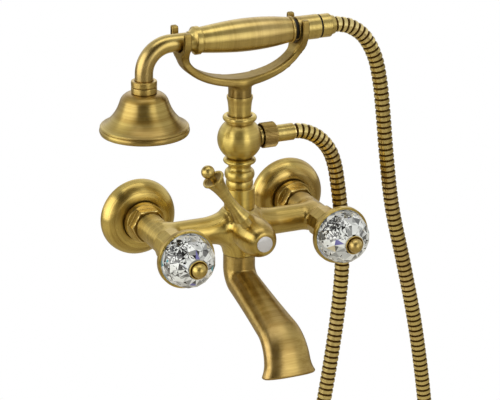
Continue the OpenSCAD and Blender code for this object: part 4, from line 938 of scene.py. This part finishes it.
def pressed(sides):
    """Directions of a circle that is pressed into a polygon by the third number of a profile point."""
    half = math.pi / sides
    steps = np.concatenate([[-CORNER_SPREAD, 0, CORNER_SPREAD], np.linspace(0, 2 * half, 8)[1:-1]])
    angle = (2 * half * np.arange(sides)[:, None] + np.sort(steps)[None, :]).ravel()
    reach = np.cos(half) / np.cos(np.mod(angle, 2 * half) - half)
    reach = np.minimum(reach, np.cos(half) / np.cos(half - CORNER_SPREAD / 2))

    def directions(point):
        radius = point[2] * reach + 1 - point[2]
        return np.stack([np.cos(angle) * radius, np.sin(angle) * radius], axis=1)

    return directions


def sided(name, node, material, place, profile, sides, corner=0.4):
    """A piece with flat sides in place of a solid."""
    return piece(name, spun(eased_corners(profile, corner), place, pressed(sides)), material, node)


print("ten sides are pressed from", len(pressed(10)((1, 0, 1))), "points")

# %% Shrouds, cups and union nuts
shroud = [(13.05, 76, 0), (13.75, 76, 0), (15.3, 79, 1), (15.3, 95, 1), (7.05, 95, 0), (7.05, 90, 0),
          (12.15, 90, 0), (12.15, 78, 0), (13.05, 78, 0)]
cup = ([(4.05, 95.4, 0), (15.3, 95.4, 1)] + [(r, z, 1) for r, z in flare((15.3, 95.4), (24.9, 113.5))[1:]]
       + [(25.7, 113.5, 0), (26.5, 114.5, 0), (26.5, 119, 0), (24.3, 119, 0), (23.37, 114.6, 0), (13.3, 108, 0),
          (4.3, 108, 0), (4.3, 104, 0), (4.05, 104, 0)])
union_nut = [(13.27, 16, 0), (18.5, 16, 0), (18.5, 22.5, 0), (16.74, 22.5, 1), (16.74, 30.5, 1), (15.2, 31, 0.4),
             (11, 31, 0), (11, 28.5, 0), (13.27, 28.5, 0)]
for side, x in HANDLES.items():
    sided(side + "_shroud_sided", side + "_shroud", brass_y, from_wall(x), shroud, 10)
    bowl = sided(side + "_cup_sided", side + "_cup", brass_y, from_wall(x), cup, 10)
    nut = sided(side + "_union_nut_sided", side + "_union_nut", brass_nut, from_wall(x), union_nut, 6, 0.25)
    # The nut's end face against the housing is painted dark: painted shade in the gap between nut and housing.
    lined(nut, dark_brass_and_shade, lambda px, y, z: y < -30.8)
    lined(bowl, foil, lambda px, y, z: 107.9 < -y < 118.9
          and math.hypot(px - x, z) < min(13.6 - 1.53 * (y + 108), 24.4))
print("sided pieces: shroud", len(shroud), "and cup", len(cup), "profile points")

# %% [markdown]
# ## Cut crystals
# Looking into a cut crystal, the eye meets splinters: the facets of the far side, thrown about by the near
# ones. Here the splinters are painted reflections: most are painted clear or pale, many are painted black
# on the side that looks into the room, and a few are split into a colour as painted glints.
# A clear glass alone shows few of them, so a copy of each crystal is broken up along its own flat faces,
# finer on the shaded side and towards the rim, and each splinter keeps a painted reflection tone for the
# material.

# %% Tones of the splinters
# Tones of painted reflection: white and greys for the lit room seen in the facets, black for its dark side, teal,
# violet and straw for painted coloured glints.
CLEAR, PALE, GREY, DARK_GREY, BLACK = ((0.97 * g, g, 0.98 * g) for g in (1.0, 0.66, 0.36, 0.13, 0.006))
TEAL, VIOLET, STRAW = (0.05, 0.38, 0.46), (0.17, 0.16, 0.46), (0.70, 0.62, 0.40)
KINDS, ODDS = zip((CLEAR, 0.38), (PALE, 0.18), (GREY, 0.23), (DARK_GREY, 0.14), (TEAL, 0.02), (VIOLET, 0.02),
                  (STRAW, 0.03))
print("clear splinters:", ODDS[0], "of all, coloured ones:", round(sum(ODDS[4:]), 2))


# %% Breaking up
def broken(shape, size, luck):
    """Splits the edges of a triangle mesh at random until they are about as short as size asks at their place."""
    waiting = list(shape.edges)
    while waiting:
        edge = waiting.pop(luck.integers(len(waiting)))
        if edge.calc_length() < size(edge) * luck.uniform(0.6, 1.6):
            continue
        sides = [(face, next(v for v in face.verts if v not in edge.verts)) for face in edge.link_faces]
        point = bmesh.utils.edge_split(edge, edge.verts[0], luck.uniform(0.25, 0.75))[1]
        for face, far in sides:
            bmesh.utils.face_split(face, point, far)
        waiting += point.link_edges


trial = bmesh.new()
bmesh.ops.create_cube(trial, size=1)
bmesh.ops.triangulate(trial, faces=trial.faces)
broken(trial, lambda edge: 0.5, np.random.default_rng(1))
print("a cube of twelve triangles breaks into", len(trial.faces))
trial.free()

# %% Splinters
SHADED_SIDE = Vector((-0.63, -0.46, 0.62)).normalized()
CRYSTAL_Y, SEEDS = -123.2 * MM, {"hot": 21, "cold": 14}
FINE, MIDDLING, COARSE = 3.4 * MM, 4 * MM, 6 * MM


def splintered(name, node, x, seed):
    """A crystal whose faces are broken into splinters, each with a painted reflection tone of its own."""
    luck = np.random.default_rng(seed)
    centre = Vector((x * MM, CRYSTAL_Y, 0))
    shape = bmesh.new()
    shape.from_mesh(nodes[node].data)
    bmesh.ops.remove_doubles(shape, verts=shape.verts, dist=1e-6)
    bmesh.ops.triangulate(shape, faces=shape.faces)
    bmesh.ops.recalc_face_normals(shape, faces=shape.faces)

    def shade(normal):
        return min(max((normal.dot(SHADED_SIDE) - 0.80) / 0.15, 0), 1)

    def size(edge):
        outward = ((edge.verts[0].co + edge.verts[1].co) / 2 - centre).normalized()
        rim = abs(outward.y + 0.2) < 0.25
        return FINE if shade(outward) > 0.3 else MIDDLING if rim else COARSE

    def draw():
        return KINDS[luck.choice(len(KINDS), p=ODDS)]

    broken(shape, size, luck)
    layer, faces_of = shape.loops.layers.float_color.new("tone"), {}
    for face in shape.faces:
        tone = faces_of.setdefault(tuple(round(v, 2) for v in face.normal), draw())
        lot = luck.random()
        # Facets are painted black at random, and more often where they face the shaded side: painted reflection of
        # the dark room. The rest keep painted clear, pale, grey or coloured glints.
        dark = shade(face.normal)
        if lot < 0.06 + 0.6 * dark:
            tone = BLACK
        elif dark > 0.3:
            tone = CLEAR if lot < 0.9 else GREY
        elif lot > 0.8:
            tone = draw()
        for loop in face.loops:
            loop[layer] = (*tone, 1)
    mesh = bpy.data.meshes.new(name)
    shape.to_mesh(mesh)
    shape.free()
    return piece(name, mesh, crystal, node)


for side, x in HANDLES.items():
    knob = splintered(side + "_crystal_cut", side + "_crystal", x, SEEDS[side])
    print(knob.name, "has", len(knob.data.polygons), "splinters")

# %% [markdown]
# ## Swan spout
# The spout is cast: round where it meets the body, wide and flat at its mouth. Its section changes all
# along the way, so no bevelled curve can follow it. Rings of points are laid along the bent line, each a
# little wider, flatter and squarer than the last, and the skin is closed through the inside.

# %% The spout's line
SPOUT_Z, SPOUT_SIDES, SPOUT_WALL, LIP = -25.3, 72, 2.6, 2.2
SPOUT_BENDS = [(11.7, 0, 6), (15 * math.radians(77), 77, 24), (73, 0, 24), (30 * math.radians(61), -61, 24),
               (14 - LIP, 0, 6)]  # length, turn in degrees, steps


def spout_line():
    """Points (distance from the wall, height, direction, length so far) along the spout."""
    x, z, heading, run = -REACH / MM, SPOUT_Z, -math.pi / 2, 0.0
    line = [(x, z, heading, run)]
    for length, turn, steps in SPOUT_BENDS:
        for _ in range(steps):
            half = math.radians(turn) / steps / 2
            x += length / steps * math.cos(heading + half) * (math.sin(half) / half if half else 1)
            z += length / steps * math.sin(heading + half) * (math.sin(half) / half if half else 1)
            heading, run = heading + 2 * half, run + length / steps
            line.append((x, z, heading, run))
    return line


line = spout_line()
end = line[-1]
SPOUT_RUN, FLARE, FLARE_OUT = end[3], 11, 2.5
print("spout ends", round(end[0], 1), "mm from the wall at", round(end[1], 1))


# %% The spout's rings
def spout_ring(at, grow=0.0):
    """One section: round where the run starts, wide and flared where it ends."""
    share = at[3] / SPOUT_RUN
    mouth = np.clip((at[3] - SPOUT_RUN + FLARE) / FLARE, 0, 1) ** 2
    wide = 14.6 + (22.4 - 14.6) * share ** 1.65 + FLARE_OUT * mouth + grow
    thick = 14.6 * (1 - share) ** 2 + 21.5 * share * (1 - share) + 11 * share ** 2 + 0.7 * mouth + grow
    power = 2 / (2 + 0.4 * share ** 2)
    ring = []
    for k in range(SPOUT_SIDES):
        a = 2 * math.pi * k / SPOUT_SIDES
        c, s = (math.copysign(abs(f(a)) ** power, f(a)) for f in (math.cos, math.sin))
        lift = thick * s
        ring.append((wide * c * MM, -(at[0] - lift * math.sin(at[2])) * MM, (at[1] + lift * math.cos(at[2])) * MM))
    return ring


def lip_ring(angle):
    """The mouth's section carried on over its rounded lip."""
    on = LIP * math.sin(angle)
    at = (end[0] + on * math.cos(end[2]), end[1] + on * math.sin(end[2]), *end[2:])
    return spout_ring(at, LIP * (math.cos(angle) - 1))


rings = [spout_ring(at) for at in line]
rings += [lip_ring(angle) for angle in np.radians(range(15, 91, 15))]
rings += [spout_ring(at, -SPOUT_WALL) for at in reversed(line)]
print("spout:", len(rings), "rings of", SPOUT_SIDES, "points")

# %% The spout's skin
count = len(rings) * SPOUT_SIDES
faces = [((i * SPOUT_SIDES + k) % count, (i * SPOUT_SIDES + (k + 1) % SPOUT_SIDES) % count,
          ((i + 1) * SPOUT_SIDES + (k + 1) % SPOUT_SIDES) % count, ((i + 1) * SPOUT_SIDES + k) % count)
         for i in range(len(rings)) for k in range(SPOUT_SIDES)]
spout_mesh = bpy.data.meshes.new("spout_cast")
spout_mesh.from_pydata([p for ring in rings for p in ring], [], faces)
shape = bmesh.new()
shape.from_mesh(spout_mesh)
bmesh.ops.recalc_face_normals(shape, faces=shape.faces)
shape.to_mesh(spout_mesh)
shape.free()
spout = piece("spout_cast", polished(spout_mesh), brass_spout, "spout")
print("spout:", len(spout.data.polygons), "faces")

# %% [markdown]
# ## Castings
# The body and the cradle are castings: where two shapes meet there is a fillet, and no edge is sharp.
# Bevels can't do that on solids that run through each other. A fine skin is remeshed over the solid, then
# every point of it moves onto a smooth union of the same shapes, written as distances, in which the
# sharp inner corner between two shapes is filled. The cradle's strap is slimmer than its solid, so its skin
# is drawn in first.

# %% Distances
def rod_distance(p, axis, through, radius, low, high, edge=0.8):
    """Distance to a round rod along an axis (0, 1 or 2), with its two other coordinates in through."""
    others = [k for k in range(3) if k != axis]
    out = np.hypot(p[:, others[0]] - through[0], p[:, others[1]] - through[1]) - radius + edge
    end = np.abs(p[:, axis] - (low + high) / 2) - (high - low) / 2 + edge
    return np.minimum(np.maximum(out, end), 0) + np.hypot(np.maximum(out, 0), np.maximum(end, 0)) - edge


def joined(a, b, fillet):
    """Union of two distances with a fillet of about this size."""
    h = np.clip(0.5 + 0.5 * (b - a) / fillet, 0, 1)
    return b + (a - b) * h - fillet * h * (1 - h)


def bored(a, b, edge=0.5):
    """Takes the second shape out of the first, with an eased edge."""
    return -joined(-a, b, edge)


print("where two skins cross, a fillet of 4 mm adds", -joined(np.zeros(1), np.zeros(1), 4.0)[0], "mm")


# %% The body as distances
def body_distance(p):
    """The mixer body, in mm."""
    x, y, z = p.T
    across = np.abs(x)
    mirrored = np.stack([across, y, z], axis=1)
    housing = rod_distance(mirrored, 1, (INLET, 0), 13, -78, -31.5)
    run = np.clip((35.3 - across) / 20, 0, 1) * 20
    swell = np.where(across < 15.3, 4.3, 48.66 - np.sqrt(np.maximum(48.66 ** 2 - run ** 2, 0)))
    bar = np.maximum(np.hypot(y + OUT, z - 0.6) - 12.3 - np.minimum(swell, 4.3), across - INLET)
    upper = rod_distance(p, 2, (0, -OUT), 15.2, -4, 18)
    taper = np.clip((-14 - z) / 11, 0, 1) * 2.2
    lower = np.maximum(np.hypot(x, y + OUT) - 17.2 + taper, np.maximum(-25 - z, z - 4))
    diverter = rod_distance(p, 1, (0, HUB_Z), 15.3, -84, -60)
    shape = joined(bar, housing, 5)
    shape = joined(shape, joined(joined(upper, lower, 5), diverter, 6), 6)
    tail = joined(rod_distance(mirrored, 1, (INLET, 0), 10.7, -34, -26, 0.3),
                  rod_distance(mirrored, 1, (INLET, 0), 12.92, -28.5, -26, 0.3), 0.3)
    shape = joined(shape, tail, 0.4)
    for bore in ((1, (INLET, 0), 8, -60, -20), (1, (INLET, 0), 9.15, -90, -54),
                 (0, (-OUT, 0.6), 7.4, -INLET, INLET), (2, (0, -OUT), 8, -40, 40), (2, (0, -OUT), 9.05, 8, 40),
                 (2, (0, -OUT), 9.75, -40, -16), (1, (0, HUB_Z), 6.2, -74, -OUT),
                 (1, (0, HUB_Z), 11.05, -100, -72)):
        shape = bored(shape, rod_distance(mirrored, *bore, 0.05))
    return shape


below = np.array([[45.0, -OUT, -20.0]])
print("the body's bar reaches down to", round(float(body_distance(below)[0]) - 20, 1), "mm")

# %% The cradle as distances
STRAP_LOW, STRAP_HALF, STRAP_RISE, FORK_X, FORK_RADIUS = 138.75, 57, 33, 56, 15.35
STRAP_HALF_THICK, STRAP_EDGE, STRAP_END, STRAP_TOP = 3.6, 2.1, 57.5, HANDSET_Z - 11.6
PRONG_TOP, PRONG_EDGE = HANDSET_Z + 11.5, 0.9
FORK_SEATS = {-FORK_X: HANDSET_Z - 8.3, FORK_X: HANDSET_Z - 11.3}


def fork_distance(p, x, seat):
    """A U of bar with eased edges across the handset."""
    middle = seat + 12.25
    side, up = p[:, 1] + OUT, p[:, 2] - middle
    bow_out = np.abs(np.where(up > 0, np.abs(side), np.hypot(side, up)) - FORK_RADIUS) - 3.1
    out, end = bow_out + PRONG_EDGE, np.abs(p[:, 0] - x) - 2.9 + PRONG_EDGE
    bar = np.minimum(np.maximum(out, end), 0) + np.hypot(np.maximum(out, 0), np.maximum(end, 0)) - PRONG_EDGE
    return -joined(-bar, PRONG_TOP - p[:, 2], 2.0)


def strap_width(x):
    """Half the width of the strap: broad over the stub, slim on the way to the forks."""
    return 8.2 + 3.3 * np.exp(-(x / 22) ** 2)


def slimmed(p):
    """Draws the skin of the plain strap in to its real width."""
    plain = 13.5 - (481.5 - np.sqrt(np.maximum(481.5 ** 2 - p[:, 0] ** 2, 1)))
    strap = (p[:, 2] > 131) & (p[:, 2] < HANDSET_Z - 14) & (np.abs(p[:, 0]) < 52)
    p[strap, 1] = -OUT + (p[strap, 1] + OUT) * np.minimum(strap_width(p[strap, 0]) / plain[strap], 1)
    return p


def cradle_distance(p):
    """The forked cradle on its stub, in mm: the strap hangs in half an ellipse between the forks."""
    x, y, z = p.T
    u, v = x / STRAP_HALF, (z - STRAP_LOW - STRAP_RISE) / STRAP_RISE
    reach = np.maximum(np.hypot(u, v), 1e-6)
    off = (reach - 1) * reach / np.hypot(u / STRAP_HALF, v / STRAP_RISE)
    out = np.abs(off) - STRAP_HALF_THICK + STRAP_EDGE
    ends = np.maximum(np.abs(x) - STRAP_END, z - STRAP_TOP)
    side = np.maximum(np.abs(y + OUT) - strap_width(x), ends) + STRAP_EDGE
    strap = np.minimum(np.maximum(out, side), 0) + np.hypot(np.maximum(out, 0), np.maximum(side, 0)) - STRAP_EDGE
    forks = np.minimum(*(fork_distance(p, x, seat) for x, seat in FORK_SEATS.items()))
    stub = rod_distance(p, 2, (0, -OUT), 10.4, 121.8, 138, 0.4)
    plug = rod_distance(p, 2, (0, -OUT), 5.95, 110.8, 124, 0.4)
    return np.minimum(joined(joined(strap, forks, 7), stub, 5), plug)


print("half the strap's width from the middle out, in mm:", [round(float(strap_width(x)), 1) for x in (0, 25, 50)])

# %% The skin moves onto them
PROBE, LONGEST_STEP, ROUNDS = 0.05, 1.5, 8  # mm, mm, times


def cast(name, node, material, distance, voxel, ready=None):
    """A casting in place of a solid, whose skin may be made ready by a function first."""
    copy = nodes[node].data.copy()
    shape = bmesh.new()
    shape.from_mesh(copy)
    bmesh.ops.remove_doubles(shape, verts=shape.verts, dist=1e-6)
    shape.to_mesh(copy)
    shape.free()
    holder = bpy.data.objects.new(name, copy)
    bpy.context.scene.collection.objects.link(holder)
    skin = holder.modifiers.new("skin", "REMESH")
    skin.mode, skin.voxel_size = "VOXEL", voxel * MM
    mesh = bpy.data.meshes.new_from_object(holder.evaluated_get(bpy.context.evaluated_depsgraph_get()))
    bpy.data.objects.remove(holder)
    bpy.data.meshes.remove(copy)
    points = np.empty(3 * len(mesh.vertices))
    mesh.vertices.foreach_get("co", points)
    points = points.reshape(-1, 3) / MM
    if ready:
        points = ready(points)
    for _ in range(ROUNDS):
        here = distance(points)
        slope = np.stack([distance(points + step) - distance(points - step) for step in PROBE * np.eye(3)], axis=1)
        slope /= 2 * PROBE
        size = np.maximum((slope ** 2).sum(axis=1), 0.25)
        points -= slope * (np.clip(here, -LONGEST_STEP, LONGEST_STEP) / size)[:, None]
    mesh.vertices.foreach_set("co", (points * MM).ravel())
    mesh.shade_smooth()
    normals = slope / np.maximum(np.linalg.norm(slope, axis=1), 1e-9)[:, None]
    mesh.normals_split_custom_set_from_vertices([tuple(n) for n in normals])
    print(name, "skin of", len(points), "points, off by", round(float(np.abs(distance(points)).max()), 3), "mm")
    return piece(name, mesh, material, node)


cast("body_cast", "mixer_body", brass_y, body_distance, 1.1)
# The cradle's darker brass is partly painted shade on the strap.
cast("cradle_cast", "cradle", brass_drawn, cradle_distance, 0.9, slimmed)
